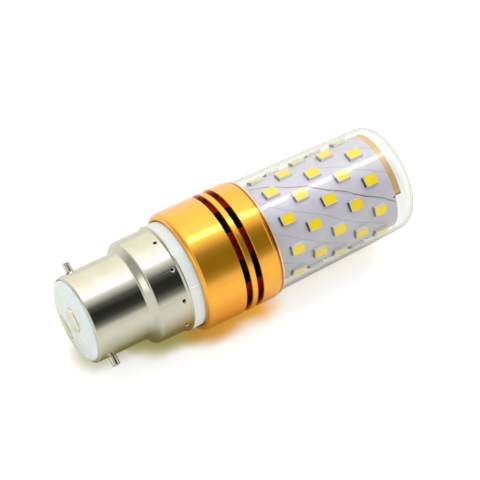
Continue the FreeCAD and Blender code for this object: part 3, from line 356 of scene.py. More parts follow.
def make_gold():
    """Satin gold, pale on the front bead as a painted highlight and dark brown in the neck behind it as
    painted shade, with painted shade, red-brown to near black, down the grooves and in the bore behind the
    slots.
    """
    material, shader = new_material("gold_anodised", Coat_Roughness=0.1, Coat_IOR=1.7)
    lines = turning_lines(material, 0.12 * MM)
    blotch = noise(material, 6 * MM, 2)
    dye = ramp(material, blotch, [(0.3, (0.94, 0.41, 0.008)), (0.7, (0.98, 0.445, 0.014))])
    x, y, z = surface_place(material)
    share = add(material, "ShaderNodeMapRange")
    share.inputs["From Min"].default_value = SLEEVE_BORE
    share.inputs["From Max"].default_value = SLEEVE_RADIUS
    link(material, axis_distance(material, x, y), share.inputs["Value"])
    depth = share.outputs["Result"]
    front = math_node(material, "MULTIPLY_ADD", z, 1 / MM, -SLEEVE_FRONT / MM)
    # Painted highlight and shade at the front: pale on the rolled bead, then dark brown down the neck groove
    # behind it.
    lip = ramp(material, front, [(0.38, (1.0, 0.70, 0.44)), (0.44, (0.36, 0.11, 0.016))])
    body = ramp(material, front, [(0.80, (0, 0, 0)), (0.90, (1, 1, 1))])
    tint = mix_colour(material, body, lip, dye)
    # Painted shade: the colour goes from gold at the outside through red-brown to near black towards the
    # bore.
    deep = ramp(material, depth, [(0.1, (0.004, 0.001, 0.001)), (0.2, (0.38, 0.048, 0.003))])
    margin = 0.05 * MM
    last = FIRST_GROOVE + GROOVE_PITCH + GROOVE_WIDTH
    over = math_node(material, "GREATER_THAN", z, FIRST_GROOVE - margin)
    under = math_node(material, "LESS_THAN", z, last + margin)
    grooved = math_node(material, "MULTIPLY", over, under)
    # Where the painted shade falls: in the bore outside the grooves, and down the groove walls to their
    # floors.
    plain = ramp(material, depth, [(0.3, (0, 0, 0)), (0.62, (1, 1, 1))])
    walls = ramp(material, depth, [(0.70, (0, 0, 0)), (0.92, (1, 1, 1))])
    outside = mix_colour(material, grooved, plain, walls)
    link(material, mix_colour(material, outside, deep, tint), shader.inputs["Base Color"])
    link(material, spread(material, outside, 1.0, 0.76), shader.inputs["Metallic"])
    link(material, spread(material, outside, 0.0, 0.75), shader.inputs["Coat Weight"])
    link(material, spread(material, lines, 0.13, 0.21), shader.inputs["Roughness"])
    bump(material, shader, lines, 0.004 * MM, 0.15)
    return material


def make_clear():
    """Clear plastic, greenish where it is seen edge-on, that lets the lamps through to what it covers."""
    material, shader = new_material(
        "clear_plastic", Base_Color=(0.98, 0.985, 0.985, 1), Transmission_Weight=1.0, IOR=1.49
    )
    ripple = noise(material, 5 * MM, 2)
    link(material, spread(material, ripple, 0.0, 0.04), shader.inputs["Roughness"])
    out = material.node_tree.nodes["Material Output"]
    path = add(material, "ShaderNodeLightPath")
    window = add(material, "ShaderNodeBsdfTransparent", Color=(0.99, 0.985, 0.99, 1))
    mix = add(material, "ShaderNodeMixShader")
    link(material, path.outputs["Is Shadow Ray"], mix.inputs["Fac"])
    link(material, shader.outputs["BSDF"], mix.inputs[1])
    link(material, window.outputs["BSDF"], mix.inputs[2])
    link(material, mix.outputs["Shader"], out.inputs["Surface"])
    depths = add(material, "ShaderNodeVolumeAbsorption", Color=(0.46, 0.60, 0.50, 1), Density=110)
    link(material, depths.outputs["Volume"], out.inputs["Volume"])
    return material


def make_plastic(name, colour, shade, size=3 * MM, rough=(0.3, 0.42), coat=0.0):
    """Moulded plastic: two close tones, uneven gloss and a faint orange-peel surface."""
    material, shader = new_material(name, Coat_Weight=coat, Coat_Roughness=0.08)
    blotch = noise(material, size, 3)
    tint = ramp(material, blotch, [(0.35, shade), (0.65, colour)])
    link(material, tint, shader.inputs["Base Color"])
    link(material, spread(material, blotch, *rough), shader.inputs["Roughness"])
    bump(material, shader, noise(material, size / 8, 2), 0.01 * MM, 0.3)
    return material


def make_phosphor():
    """Cast yellow resin with a painted glow: its emission stands in for the phosphor turning some blue light
    to yellow, which makes it look brighter than paint.
    """
    material = make_plastic(
        "phosphor",
        (1.0, 0.74, 0.006),
        (0.98, 0.68, 0.004),
        size=MM,
        rough=(0.3, 0.45),
        coat=0.05,
    )
    shader = material.node_tree.nodes["Principled BSDF"]
    # Painted glow: a constant emission, though the unlit led is no lamp.
    shader.inputs["Emission Color"].default_value = (1.0, 0.71, 0.002, 1)
    shader.inputs["Emission Strength"].default_value = 0.31
    return material


def make_metal(name, colour, shade, rough=(0.25, 0.45), metallic=1.0):
    """Bare metal: two close tones, uneven gloss and a fine grain."""
    size = 1.5 * MM
    material, shader = new_material(name, Metallic=metallic)
    blotch = noise(material, size, 4)
    tint = ramp(material, blotch, [(0.3, shade), (0.7, colour)])
    link(material, tint, shader.inputs["Base Color"])
    link(material, spread(material, blotch, *rough), shader.inputs["Roughness"])
    bump(material, shader, noise(material, size / 5, 3), 0.01 * MM, 0.4)
    return material


def make_copper():
    """Bare rolled copper, dark brown up to just past the strip's cut end as a painted shade there; the
    copper spot, which lies in that band, is dark brown too.
    """
    material = make_metal(
        "copper", (0.97, 0.64, 0.31), (0.90, 0.57, 0.26), rough=(0.4, 0.5), metallic=0.15
    )
    shader = material.node_tree.nodes["Principled BSDF"]
    tint = shader.inputs["Base Color"].links[0].from_socket
    x, y, _ = surface_place(material)
    share = share_of_turn(material, x, y, 0.5)
    # Painted shade: dark brown before the strip's cut end.
    past_end_shade = ramp(material, share, [(STRIP_END + 0.004, (0, 0, 0)), (STRIP_END + 0.006, (1, 1, 1))])
    link(material, mix_colour(material, past_end_shade, (0.20, 0.06, 0.015, 1), tint), shader.inputs["Base Color"])
    return material


def make_board():
    """White solder mask over copper areas, whose slanting edges show through as faint lines."""
    material, shader = new_material("board_white", Coat_Weight=0.15, Coat_Roughness=0.2)
    x, y, z = surface_place(material)
    from_seam = share_of_turn(material, x, y, -SEAM_TURN / 360)
    climb = math_node(material, "DIVIDE", z, SEAM_LEAD)
    wander = spread(material, noise(material, 9 * MM, 2), -0.012, 0.012)
    slant = math_node(material, "ADD", math_node(material, "SUBTRACT", from_seam, climb), wander)
    lines = math_node(material, "FRACT", math_node(material, "MULTIPLY_ADD", slant, float(TRACES), 0.5))
    edge = math_node(material, "ABSOLUTE", math_node(material, "SUBTRACT", lines, 0.5))
    groove = ramp(material, edge, [(0.0, (0, 0, 0)), (0.03, (1, 1, 1)), (1.0, (1, 1, 1))])
    blotch = noise(material, 5 * MM, 2)
    tint = ramp(material, blotch, [(0.3, (0.845, 0.79, 0.92)), (0.7, (0.895, 0.84, 0.96))])
    mix = add(material, "ShaderNodeMix", data_type="RGBA", blend_type="MULTIPLY")
    mix.inputs["Factor"].default_value = 0.22
    link(material, tint, mix.inputs["A"])
    link(material, groove, mix.inputs["B"])
    link(material, mix.outputs["Result"], shader.inputs["Base Color"])
    link(material, spread(material, blotch, 0.35, 0.5), shader.inputs["Roughness"])
    bump(material, shader, groove, 0.06 * MM, 0.8)
    return material


# Pieces


def make_cover(material):
    """Tapered tube with a round corner and a flat head, as thick as the real one."""
    wall = 0.7 * MM
    draft = math.radians(1.45)
    corner = 4.0 * MM
    foot = COVER_RADIUS - math.tan(draft) * SLEEVE_FRONT
    centre_r = foot + corner * math.tan(draft) - corner / math.cos(draft)
    centre = (centre_r, corner)
    outer = [(0, 0)]
    outer += arc(centre, corner, -90, -math.degrees(draft), 16)
    outer += [(COVER_RADIUS, SLEEVE_FRONT), (COVER_RADIUS, COVER_RIM)]
    inner = [(COVER_RADIUS - wall, COVER_RIM), (COVER_RADIUS - wall, SLEEVE_FRONT)]
    inner += arc(centre, corner - wall, -math.degrees(draft), -90, 16)
    inner += [(0, wall)]
    vertices, faces, _ = lathe(outer + inner, closed=False)
    return dress(new_piece("clear_cover_wall", vertices, faces), material, "clear_plastic", "clear_cover")


def make_sleeve(material):
    """The gold sleeve: a closed outline, with the grooves' floors cut through at the slots."""
    lip = 14.7 * MM
    mouth = COVER_RADIUS + 0.05 * MM
    rear_bore = 13.65 * MM
    shoulder = SLEEVE_FRONT + 1.4 * MM
    first = FIRST_GROOVE
    second = first + GROOVE_PITCH
    width = GROOVE_WIDTH
    rear_round = 1.35 * MM
    edge = 0.1 * MM
    bead = 0.18 * MM
    neck = lip - 0.3 * MM
    outline = [(mouth, SLEEVE_FRONT)]
    outline += arc((lip - bead, SLEEVE_FRONT + bead), bead, -90, 60, 8)
    outline += [
        (neck, SLEEVE_FRONT + 0.45 * MM),
        (neck, SLEEVE_FRONT + 0.8 * MM),
        (lip, SLEEVE_FRONT + 0.95 * MM),
        (lip, shoulder),
    ]
    outline += arc((lip, shoulder + SLEEVE_RADIUS - lip), SLEEVE_RADIUS - lip, -90, 0, 6)
    marks = {}
    for name, level in (("first", first), ("second", second)):
        outline += [
            (SLEEVE_RADIUS, level - edge),
            (SLEEVE_RADIUS - edge, level),
        ]
        marks[name] = len(outline)
        outline += [
            (GROOVE_FLOOR, level),
            (GROOVE_FLOOR, level + width),
            (SLEEVE_RADIUS - edge, level + width),
            (SLEEVE_RADIUS, level + width + edge),
        ]
    outline += arc((SLEEVE_RADIUS - rear_round, SLEEVE_REAR - rear_round), rear_round, 0, 90, 10)
    outline += [
        (rear_bore, SLEEVE_REAR),
        (rear_bore, HOUSING_END),
        (SLEEVE_BORE, HOUSING_END),
    ]
    marks["bore"] = len(outline)
    outline += [
        (SLEEVE_BORE, second + width),
        (SLEEVE_BORE, second),
        (SLEEVE_BORE, first + width),
        (SLEEVE_BORE, first),
        (SLEEVE_BORE, COVER_RIM),
        (mouth, COVER_RIM),
    ]
    floors = {marks["first"]: marks["bore"] + 2, marks["second"]: marks["bore"]}
    pitch = ROUND // SLOT_COUNT
    half = SLOT_ANGLE // 2

    def in_slot(column):
        return (column + half) % pitch < SLOT_ANGLE

    gone = set(floors) | set(floors.values())
    vertices, faces, rings = lathe(
        outline,
        start=SLOT_TURN,
        skip=lambda e, column: e in gone and in_slot(column),
    )
    for top, under in floors.items():
        for column in range(ROUND):
            after = (column + 1) % ROUND
            here = [rings[edge][column] for edge in (top, top + 1, under, under + 1)]
            there = [rings[edge][after] for edge in (top, top + 1, under, under + 1)]
            if in_slot(column):
                faces.append([here[0], there[0], there[3], here[3]])
                faces.append([there[1], here[1], here[2], there[2]])
            if in_slot(column) != in_slot(after):
                faces.append(there if in_slot(column) else there[::-1])
    piece = new_piece("heat_sleeve_shell", vertices, faces)
    return dress(piece, material, "gold_anodised", "heat_sleeve")


def make_cap(material):
    """Pressed cap shell with punched dimples."""
    wall = 0.35 * MM
    skirt = SKIRT_RADIUS
    barrel = BARREL_RADIUS
    slope = math.radians(50)
    bend = 1.25 * MM
    roll = 0.57 * MM
    flare_start = CAP_MOUTH + 7.92 * MM
    step = bend * (1 - math.cos(slope))
    rise = bend * math.sin(slope)
    cone = (skirt - barrel - 2 * step) / math.tan(slope)
    flare_end = flare_start + 2 * rise + cone
    barrel_end = CAP_END - roll
    mouth_top = CAP_MOUTH + 0.3 * MM
    reach = DIMPLE_REACH
    lip = 0.15 * MM
    outline = [(MOUTH_RADIUS - wall, CAP_MOUTH)]
    outline += arc((MOUTH_RADIUS - lip, CAP_MOUTH + lip), lip, -90, 0, 6)
    outline += [(MOUTH_RADIUS, mouth_top)]
    outline += [(skirt, mouth_top + MOUTH_RADIUS - skirt)]
    fine = 14
    outline += [(skirt, DIMPLE_LEVEL - reach + 2 * reach * i / fine) for i in range(fine + 1)]
    outline += arc((skirt - bend, flare_start), bend, 0, 50, 8)
    outline += arc((barrel + bend, flare_end), bend, 230, 180, 8)
    outline += arc((barrel - roll, barrel_end), roll, 0, 90, 8)
    outline += arc((barrel - roll, barrel_end), roll - wall, 90, 0, 4)
    outline += arc((barrel + bend, flare_end), bend + wall, 180, 230, 6)
    outline += arc((skirt - bend, flare_start), bend - wall, 50, 0, 6)
    outline += [(skirt - wall, DIMPLE_LEVEL + reach - 2 * reach * i / fine) for i in range(fine + 1)]
    outline += [(MOUTH_RADIUS - wall, mouth_top)]
    dimples = [math.radians(18 + 36 * i) for i in range(10)]

    def dent(point, angle):
        radius = math.hypot(point.x, point.y)
        if abs(point.z - DIMPLE_LEVEL) > reach or radius < skirt - 2 * wall:
            return point
        nearest = min(abs(math.remainder(angle - d, 2 * math.pi)) for d in dimples)
        away = math.hypot(nearest * skirt, point.z - DIMPLE_LEVEL)
        if away >= reach:
            return point
        share = 1 - away / reach
        depth = 0.6 * MM * share * share * (3 - 2 * share)
        return point - Vector((point.x, point.y, 0)) * (depth / radius)

    vertices, faces, _ = lathe(outline, steps=720, shift=dent)
    return dress(new_piece("cap_shell_pressed", vertices, faces), material, "nickel_plate", "cap_shell")


def make_pins(material):
    """Rivet pins: a head inside the barrel, a thin shank through it, and a thicker pin with a round tip."""
    radius = 0.97 * MM
    tip = 13.5 * MM
    soft = 0.22 * MM
    shank = 0.8 * MM
    head = 1.5 * MM
    start = 10.0 * MM
    head_end = start + 0.5 * MM
    outline = [(0, start), (head, start), (head, head_end), (shank, head_end)]
    outline += [(shank, BARREL_RADIUS), (radius, BARREL_RADIUS + radius - shank)]
    outline += arc((radius - soft, tip - soft), soft, 0, 90, 6)
    outline += [(0, tip)]
    vertices, faces, _ = lathe(outline, steps=48, closed=False)
    for side, sign in (("right", 1), ("left", -1)):
        node = f"bayonet_pin_{side}"
        moved = [Vector((sign * v.z, v.y, PIN_LEVEL - sign * v.x)) for v in vertices]
        piece = new_piece(f"{node}_rivet", moved, faces)
        dress(piece, material, "nickel_plate", node)


def make_contacts(material):
    """Crowned plates that lie nearly flush in the domed insulator, each with a soldering dimple."""
    steps = 16
    rings = 9
    dome = 33.8 * MM
    crown = high("cap_insulator").z
    for node in ("contact_plate_back", "contact_plate_front"):
        corner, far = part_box(node)
        half_length = (far.x - corner.x) / 2
        half_width = (far.y - corner.y) / 2
        middle = (far.y + corner.y) / 2
        straight = half_length - half_width
        rim = []
        for end in (1, -1):
            for k in range(steps + 1):
                angle = math.radians(-90 + 180 * k / steps)
                x = end * (straight + half_width * math.cos(angle))
                rim.append((x, end * half_width * math.sin(angle)))
        vertices = [(x, y + middle, corner.z) for x, y in rim]
        for ring in range(rings):
            share = 1 - ring / rings
            for x, y in rim:
                place = (x * share, y * share + middle)
                reach = math.hypot(*place)
                lowest = crown - dome + math.sqrt(dome * dome - reach * reach) + 0.34 * MM
                height = lowest * share * share + far.z * (1 - share * share)
                if ring > rings - 3:
                    height -= 0.12 * MM * (ring - rings + 3)
                vertices.append((*place, height))
        piece = new_piece(f"{node}_crowned", vertices, tube_faces(len(rim), rings + 1), sharp=50)
        dress(piece, material, "contact_metal", node)


def seam_turn(level):
    """Azimuth of the seam: a steep helix that wanders and jogs a little, as a hand-rolled sheet's does."""
    wander = math.sin(2 * math.pi * (level - SEAM_PHASE) / SEAM_WAVE)
    reach = 0.4 * MM
    jogs = sum(turn * math.exp(-(((level - place) / reach) ** 2)) for place, turn in SEAM_JOGS)
    return math.radians(SEAM_TURN + 360 * level / SEAM_LEAD + wander + jogs)


def make_board_sheet(material):
    """The rolled sheet, open along its slanting seam."""
    columns = 200
    rows = 160
    vertices = []
    for layer in (0, 1):
        radius = BOARD_RADIUS - layer * BOARD_THICKNESS
        for row in range(rows + 1):
            level = BOARD_LOW + (BOARD_HIGH - BOARD_LOW) * row / rows
            start = seam_turn(level)
            gap = SEAM_WIDTH / BOARD_RADIUS
            for column in range(columns + 1):
                angle = start + gap / 2 + (2 * math.pi - gap) * column / columns
                vertices.append((radius * math.cos(angle), radius * math.sin(angle), level))
    across = columns + 1
    under = across * (rows + 1)
    faces = []
    for row in range(rows):
        for column in range(columns):
            a = row * across + column
            faces.append([a, a + 1, a + across + 1, a + across])
            b = a + under
            faces.append([b + across, b + across + 1, b + 1, b])
    for row in range(rows):
        a = row * across
        faces.append([a + across, a + across + under, a + under, a])
        b = a + columns
        faces.append([b, b + under, b + across + under, b + across])
    for column in range(columns):
        faces.append([column + under, column + 1 + under, column + 1, column])
        b = rows * across + column
        faces.append([b, b + 1, b + 1 + under, b + under])
    piece = new_piece("led_board_sheet", vertices, faces)
    return dress(piece, material, "board_white", "led_board")


def make_seam_edge(material):
    """The sheet's cut edge beside the seam, where the brown core of the laminate shows."""
    rows = 160
    inner = BOARD_RADIUS - 0.02 * MM
    outer = BOARD_RADIUS + 0.03 * MM
    vertices = []
    for row in range(rows + 1):
        level = BOARD_LOW + (BOARD_HIGH - BOARD_LOW) * row / rows
        start = seam_turn(level) + SEAM_WIDTH / BOARD_RADIUS / 2
        end = start + 0.13 * MM / BOARD_RADIUS
        for radius, angle in ((inner, start), (outer, start), (outer, end), (inner, end)):
            vertices.append((radius * math.cos(angle), radius * math.sin(angle), level))
    piece = new_piece("board_seam_edge", vertices, tube_faces(4, rows + 1))
    dress(piece, material, "fibreglass")


def make_test_pad(material):
    """A small bare copper spot beside the seam's head end."""
    angle = math.radians(236.4)
    along = 5.9 * MM
    steps = 20
    round_points = [2 * math.pi * k / steps for k in range(steps)]
    layers = []
    for radius, level in ((0.3, -0.02), (0.3, 0.02), (0.22, 0.05)):
        ring = [(radius * MM * math.cos(a), radius * MM * math.sin(a)) for a in round_points]
        layers.append((ring, level * MM))
    vertices, faces = loft(layers)
    placed = [on_board(v, angle, along) for v in vertices]
    dress(new_piece("board_copper_spot", placed, faces), material, "copper")


def make_parting_lines(material):
    """The moulded collar's two parting lines, thin raised ribs from the sleeve to the cap."""
    half_width = 0.16 * MM
    inner = COLLAR_RADIUS - 0.1 * MM
    outer = COLLAR_RADIUS + 0.2 * MM
    end_gap = 0.02 * MM
    for number, degrees in ((1, 244.5), (2, 64.5)):
        angle = math.radians(degrees)
        out = Vector((math.cos(angle), math.sin(angle), 0))
        side = Vector((-out.y, out.x, 0))
        ends = []
        for level in (SLEEVE_REAR + end_gap, CAP_MOUTH - end_gap):
            for radius, reach in ((inner, -1), (inner, 1), (outer, 0.4), (outer, -0.4)):
                ends.append(out * radius + side * (half_width * reach) + Vector((0, 0, level)))
        piece = new_piece(f"collar_parting_line_{number}", ends, tube_faces(4, 2))
        dress(piece, material, "housing_white")


def box_mesh(width, length, height, corner):
    """A flat block of half a width and length by its height, with rounded uprights and a soft top edge."""
    steps = 3
    ring = []
    for sx, sy, start in ((1, -1, -90), (1, 1, 0), (-1, 1, 90), (-1, -1, 180)):
        centre = (sx * (width - corner), sy * (length - corner))
        for k in range(steps + 1):
            angle = math.radians(start + 90 * k / steps)
            ring.append((centre, (math.cos(angle), math.sin(angle))))
    soft = corner * 0.6
    layers = []
    bevel = [(0.0, 0.0), (0.0, height - soft), (soft * 0.3, height - soft * 0.3), (soft, height)]
    for inset, level in bevel:
        reach = corner - inset
        outline = [(centre[0] + out[0] * reach, centre[1] + out[1] * reach) for centre, out in ring]
        layers.append((outline, level))
    return loft(layers)


def on_board(point, angle, level):
    """Takes a point of a part laid flat (across, along, up) to its place on the rolled board."""
    out = Vector((math.cos(angle), math.sin(angle), 0))
    side = Vector((-math.sin(angle), math.cos(angle), 0))
    return out * (BOARD_RADIUS + point[2]) + side * point[0] + Vector((0, 0, level + point[1]))


def make_led_ring(number, body_material, phosphor, metal):
    """One ring: packages with a recessed window, the phosphor and dark metal ends, partly solder and partly
    painted shade at the packages' ends.
    """
    level = LED_START + (number - 1) * LED_PITCH
    stagger = 180 / LEDS if number % 2 == 0 else 0
    kinds = {"led_packages": ([], []), "led_windows": ([], []), "led_terminals": ([], [])}

    def put(kind, mesh, angle, offset=(0, 0, 0)):
        vertices, faces = kinds[kind]
        base = len(vertices)
        for v in mesh[0]:
            moved = (v[0] + offset[0], v[1] + offset[1], v[2] + offset[2])
            vertices.append(on_board(moved, angle, level))
        faces.extend([[i + base for i in f] for f in mesh[1]])

    package = package_mesh()
    window = window_mesh()
    # Dark metal ends: real terminals and solder, and painted shade at the packages' ends; the tall block at
    # the cap-side end stands mostly for shade.
    terminals = {
        1.8 * MM: box_mesh(1.15 * MM, 0.2 * MM, 0.58 * MM, 0.05 * MM),
        -1.62 * MM: box_mesh(1.0 * MM, 0.2 * MM, 0.2 * MM, 0.05 * MM),
    }
    for led in range(LEDS):
        angle = math.radians(LED_TURN + stagger + 360 / LEDS * led)
        put("led_packages", package, angle)
        put("led_windows", window, angle)
        for along, terminal in terminals.items():
            put("led_terminals", terminal, angle, (0, along, 0))
    looks = {
        "led_packages": (body_material, "led_white"),
        "led_windows": (phosphor, "phosphor"),
        "led_terminals": (metal, "terminal_metal"),
    }
    for kind, (vertices, faces) in kinds.items():
        material, slot = looks[kind]
        piece = new_piece(f"{kind}_ring_{number}", vertices, faces, sharp=50)
        dress(piece, material, slot, f"{kind}_{number}")


def window_outline(wide, tall, cut):
    """Eight points of a rectangle with cut corners, anticlockwise from the lower left."""
    return [
        (-wide + cut, -tall),
        (wide - cut, -tall),
        (wide, -tall + cut),
        (wide, tall - cut),
        (wide - cut, tall),
        (-wide + cut, tall),
        (-wide, tall - cut),
        (-wide, -tall + cut),
    ]


def package_mesh():
    """A white package: soft outer edges and a well whose side slopes in to the phosphor."""
    wide, tall, height = 1.4 * MM, 1.75 * MM, 0.7 * MM
    layers = [
        (window_outline(wide, tall, 0.12 * MM), 0.0),
        (window_outline(wide, tall, 0.12 * MM), height - 0.08 * MM),
        (window_outline(wide - 0.05 * MM, tall - 0.05 * MM, 0.1 * MM), height),
        (window_outline(1.22 * MM, 1.55 * MM, 0.35 * MM), height),
        (window_outline(1.18 * MM, 1.51 * MM, 0.33 * MM), height - 0.15 * MM),
    ]
    return loft(layers)


def window_mesh():
    """The cast phosphor, with a slight crown."""
    top = 0.69 * MM
    layers = [
        (window_outline(1.19 * MM, 1.52 * MM, 0.33 * MM), top - 0.16 * MM),
        (window_outline(1.21 * MM, 1.54 * MM, 0.34 * MM), top - 0.02 * MM),
        (window_outline(1.0 * MM, 1.3 * MM, 0.3 * MM), top),
    ]
    return loft(layers)


def paint(node, material):
    """Gives a CAD node that keeps its shape a material and smooth shading."""
    piece = nodes[node]
    piece.data.materials.clear()
    piece.data.materials.append(material)
    piece.data.shade_smooth()
    piece.data.set_sharp_from_angle(angle=math.radians(30))


# Camera, stage and light, placed by the photograph's view of the bulb lying on its sleeve.

HEAD = Vector((0, 0, -1))
FRONT_TURN = math.radians(5.7)
TOWARDS = Vector((-math.sin(FRONT_TURN), -math.cos(FRONT_TURN), 0))
DOWNWARDS = Vector((-math.cos(FRONT_TURN), math.sin(FRONT_TURN), 0))
CAMERA_PLACE = Vector((-61.95, -628.45, 263.14)) * MM
CAMERA_TILT = math.radians(19.28)
CAMERA_ROLL = math.radians(25.2)
FLOOR_TURN = math.radians(145)
FLOOR_GAP = 0.15 * MM

# Light on diffuse surfaces: the weakest and the strongest fill, and where the strongest comes from
FILL_LOW = (0.70, 0.70, 0.70)
FILL_HIGH = (1.04, 1.04, 1.04)
FILL_TURN = math.radians(-50)

# The floor in direct view, its own white and a glow, and its colour for all other rays
FLOOR_WHITE = (0.80, 0.80, 0.80)
FLOOR_GLOW = 0.49
FLOOR_BOUNCE = (0.92, 0.91, 0.81)

# The softbox: round the axis from the camera's side, leaning towards the head, in metres and watts
SOFTBOX_TURN = math.radians(-44)
SOFTBOX_LEAN = math.radians(19)
SOFTBOX_DISTANCE = 0.9
SOFTBOX_SIZE = (0.9, 0.13)
SOFTBOX_POWER = 1.3


def make_camera():
    """A long lens at the photograph's viewing angle."""
    forward = HEAD * math.sin(CAMERA_TILT) - TOWARDS * math.cos(CAMERA_TILT)
    level = HEAD * math.cos(CAMERA_TILT) + TOWARDS * math.sin(CAMERA_TILT)
    right = level * math.cos(CAMERA_ROLL) + DOWNWARDS * math.sin(CAMERA_ROLL)
    up = right.cross(forward).normalized()
    right = forward.cross(up).normalized()
    turned = Matrix((right, up, -forward)).transposed().to_4x4()
    data = bpy.data.cameras.new("camera")
    data.lens = 210
    data.sensor_width = 36
    data.clip_end = 10
    camera = bpy.data.objects.new("camera", data)
    camera.matrix_world = Matrix.Translation(CAMERA_PLACE) @ turned
    bpy.context.scene.collection.objects.link(camera)
    bpy.context.scene.camera = camera


def make_floor():
    """A white floor a hair below the sleeve's side, seen from the front only, with a painted shadow near the
    bulb.
    """
    away = TOWARDS * math.cos(FLOOR_TURN) + DOWNWARDS * math.sin(FLOOR_TURN)
    centre = away * (SLEEVE_RADIUS + FLOOR_GAP) + Vector((0, 0, SLEEVE_FRONT))
    side = Vector((0, 0, 1)).cross(away).normalized()
    half = 0.45
    corners = [
        centre + side * sx * half + Vector((0, 0, sz * half))
        for sx, sz in ((-1, -1), (1, -1), (1, 1), (-1, 1))
    ]
    mesh = bpy.data.meshes.new("floor")
    mesh.from_pydata([tuple(c) for c in corners], [], [[0, 1, 2, 3]])
    floor = bpy.data.objects.new("floor", mesh)
    bpy.context.scene.collection.objects.link(floor)
    if mesh.polygons[0].normal.dot(-away) < 0:
        mesh.flip_normals()
    material, shader = new_material("floor_white", Roughness=0.9)
    path = add(material, "ShaderNodeLightPath")
    bounces = math_node(material, "ADD", path.outputs["Diffuse Depth"], path.outputs["Glossy Depth"])
    direct = math_node(material, "LESS_THAN", bounces, 0.5)
    glow = math_node(material, "MULTIPLY", direct, FLOOR_GLOW)
    link(material, glow, shader.inputs["Emission Strength"])
    _, _, z = surface_place(material)
    along = math_node(material, "DIVIDE", z, CAP_END)
    front = SLEEVE_FRONT / CAP_END
    rear = SLEEVE_REAR / CAP_END
    # Painted shadow colours along the bulb: orange under the sleeve for the gold's reflected light, tan
    # under the cap.
    painted_shadow_tint = ramp(
        material,
        along,
        [
            (front - 0.04, (1.0, 0.97, 0.90)),
            (front + 0.04, (0.80, 0.43, 0.06)),
            (rear, (0.50, 0.29, 0.05)),
            (rear + 0.05, (0.39, 0.355, 0.12)),
        ],
    )
    # Ambient occlusion sets where the painted shadow falls: within 5.6 mm of the bulb, and within 45.6 mm in
    # reflections.
    nearby = add(material, "ShaderNodeAmbientOcclusion", samples=16)
    mirrored = math_node(material, "GREATER_THAN", path.outputs["Glossy Depth"], 0.5)
    reach = math_node(material, "MULTIPLY_ADD", mirrored, 40 * MM, 5.6 * MM)
    link(material, reach, nearby.inputs["Distance"])
    clear = ramp(material, nearby.outputs["AO"], [(0.58, (0, 0, 0)), (0.97, (1, 1, 1))])
    white = mix_colour(material, direct, (*FLOOR_BOUNCE, 1), (*FLOOR_WHITE, 1))
    link(material, mix_colour(material, clear, painted_shadow_tint, white), shader.inputs["Base Color"])
    link(material, mix_colour(material, clear, painted_shadow_tint, (1, 1, 1, 1)), shader.inputs["Emission Color"])
    face = add(material, "ShaderNodeNewGeometry")
    window = add(material, "ShaderNodeBsdfTransparent")
    mix = add(material, "ShaderNodeMixShader")
    link(material, face.outputs["Backfacing"], mix.inputs["Fac"])
    link(material, shader.outputs["BSDF"], mix.inputs[1])
    link(material, window.outputs["BSDF"], mix.inputs[2])
    out = material.node_tree.nodes["Material Output"]
    link(material, mix.outputs["Shader"], out.inputs["Surface"])
    mesh.materials.append(material)


def lean_along(world, direction, axis):
    """How far a direction points along an axis, from -1 against it to 1 along it."""
    dot = add(world, "ShaderNodeVectorMath", operation="DOT_PRODUCT")
    dot.inputs[1].default_value = axis
    link(world, direction, dot.inputs[0])
    return dot.outputs["Value"]


def share_along(world, direction, axis):
    """How far a direction points along an axis, from 0 against it to 1 along it."""
    return math_node(world, "MULTIPLY_ADD", lean_along(world, direction, axis), 0.5, 0.5)


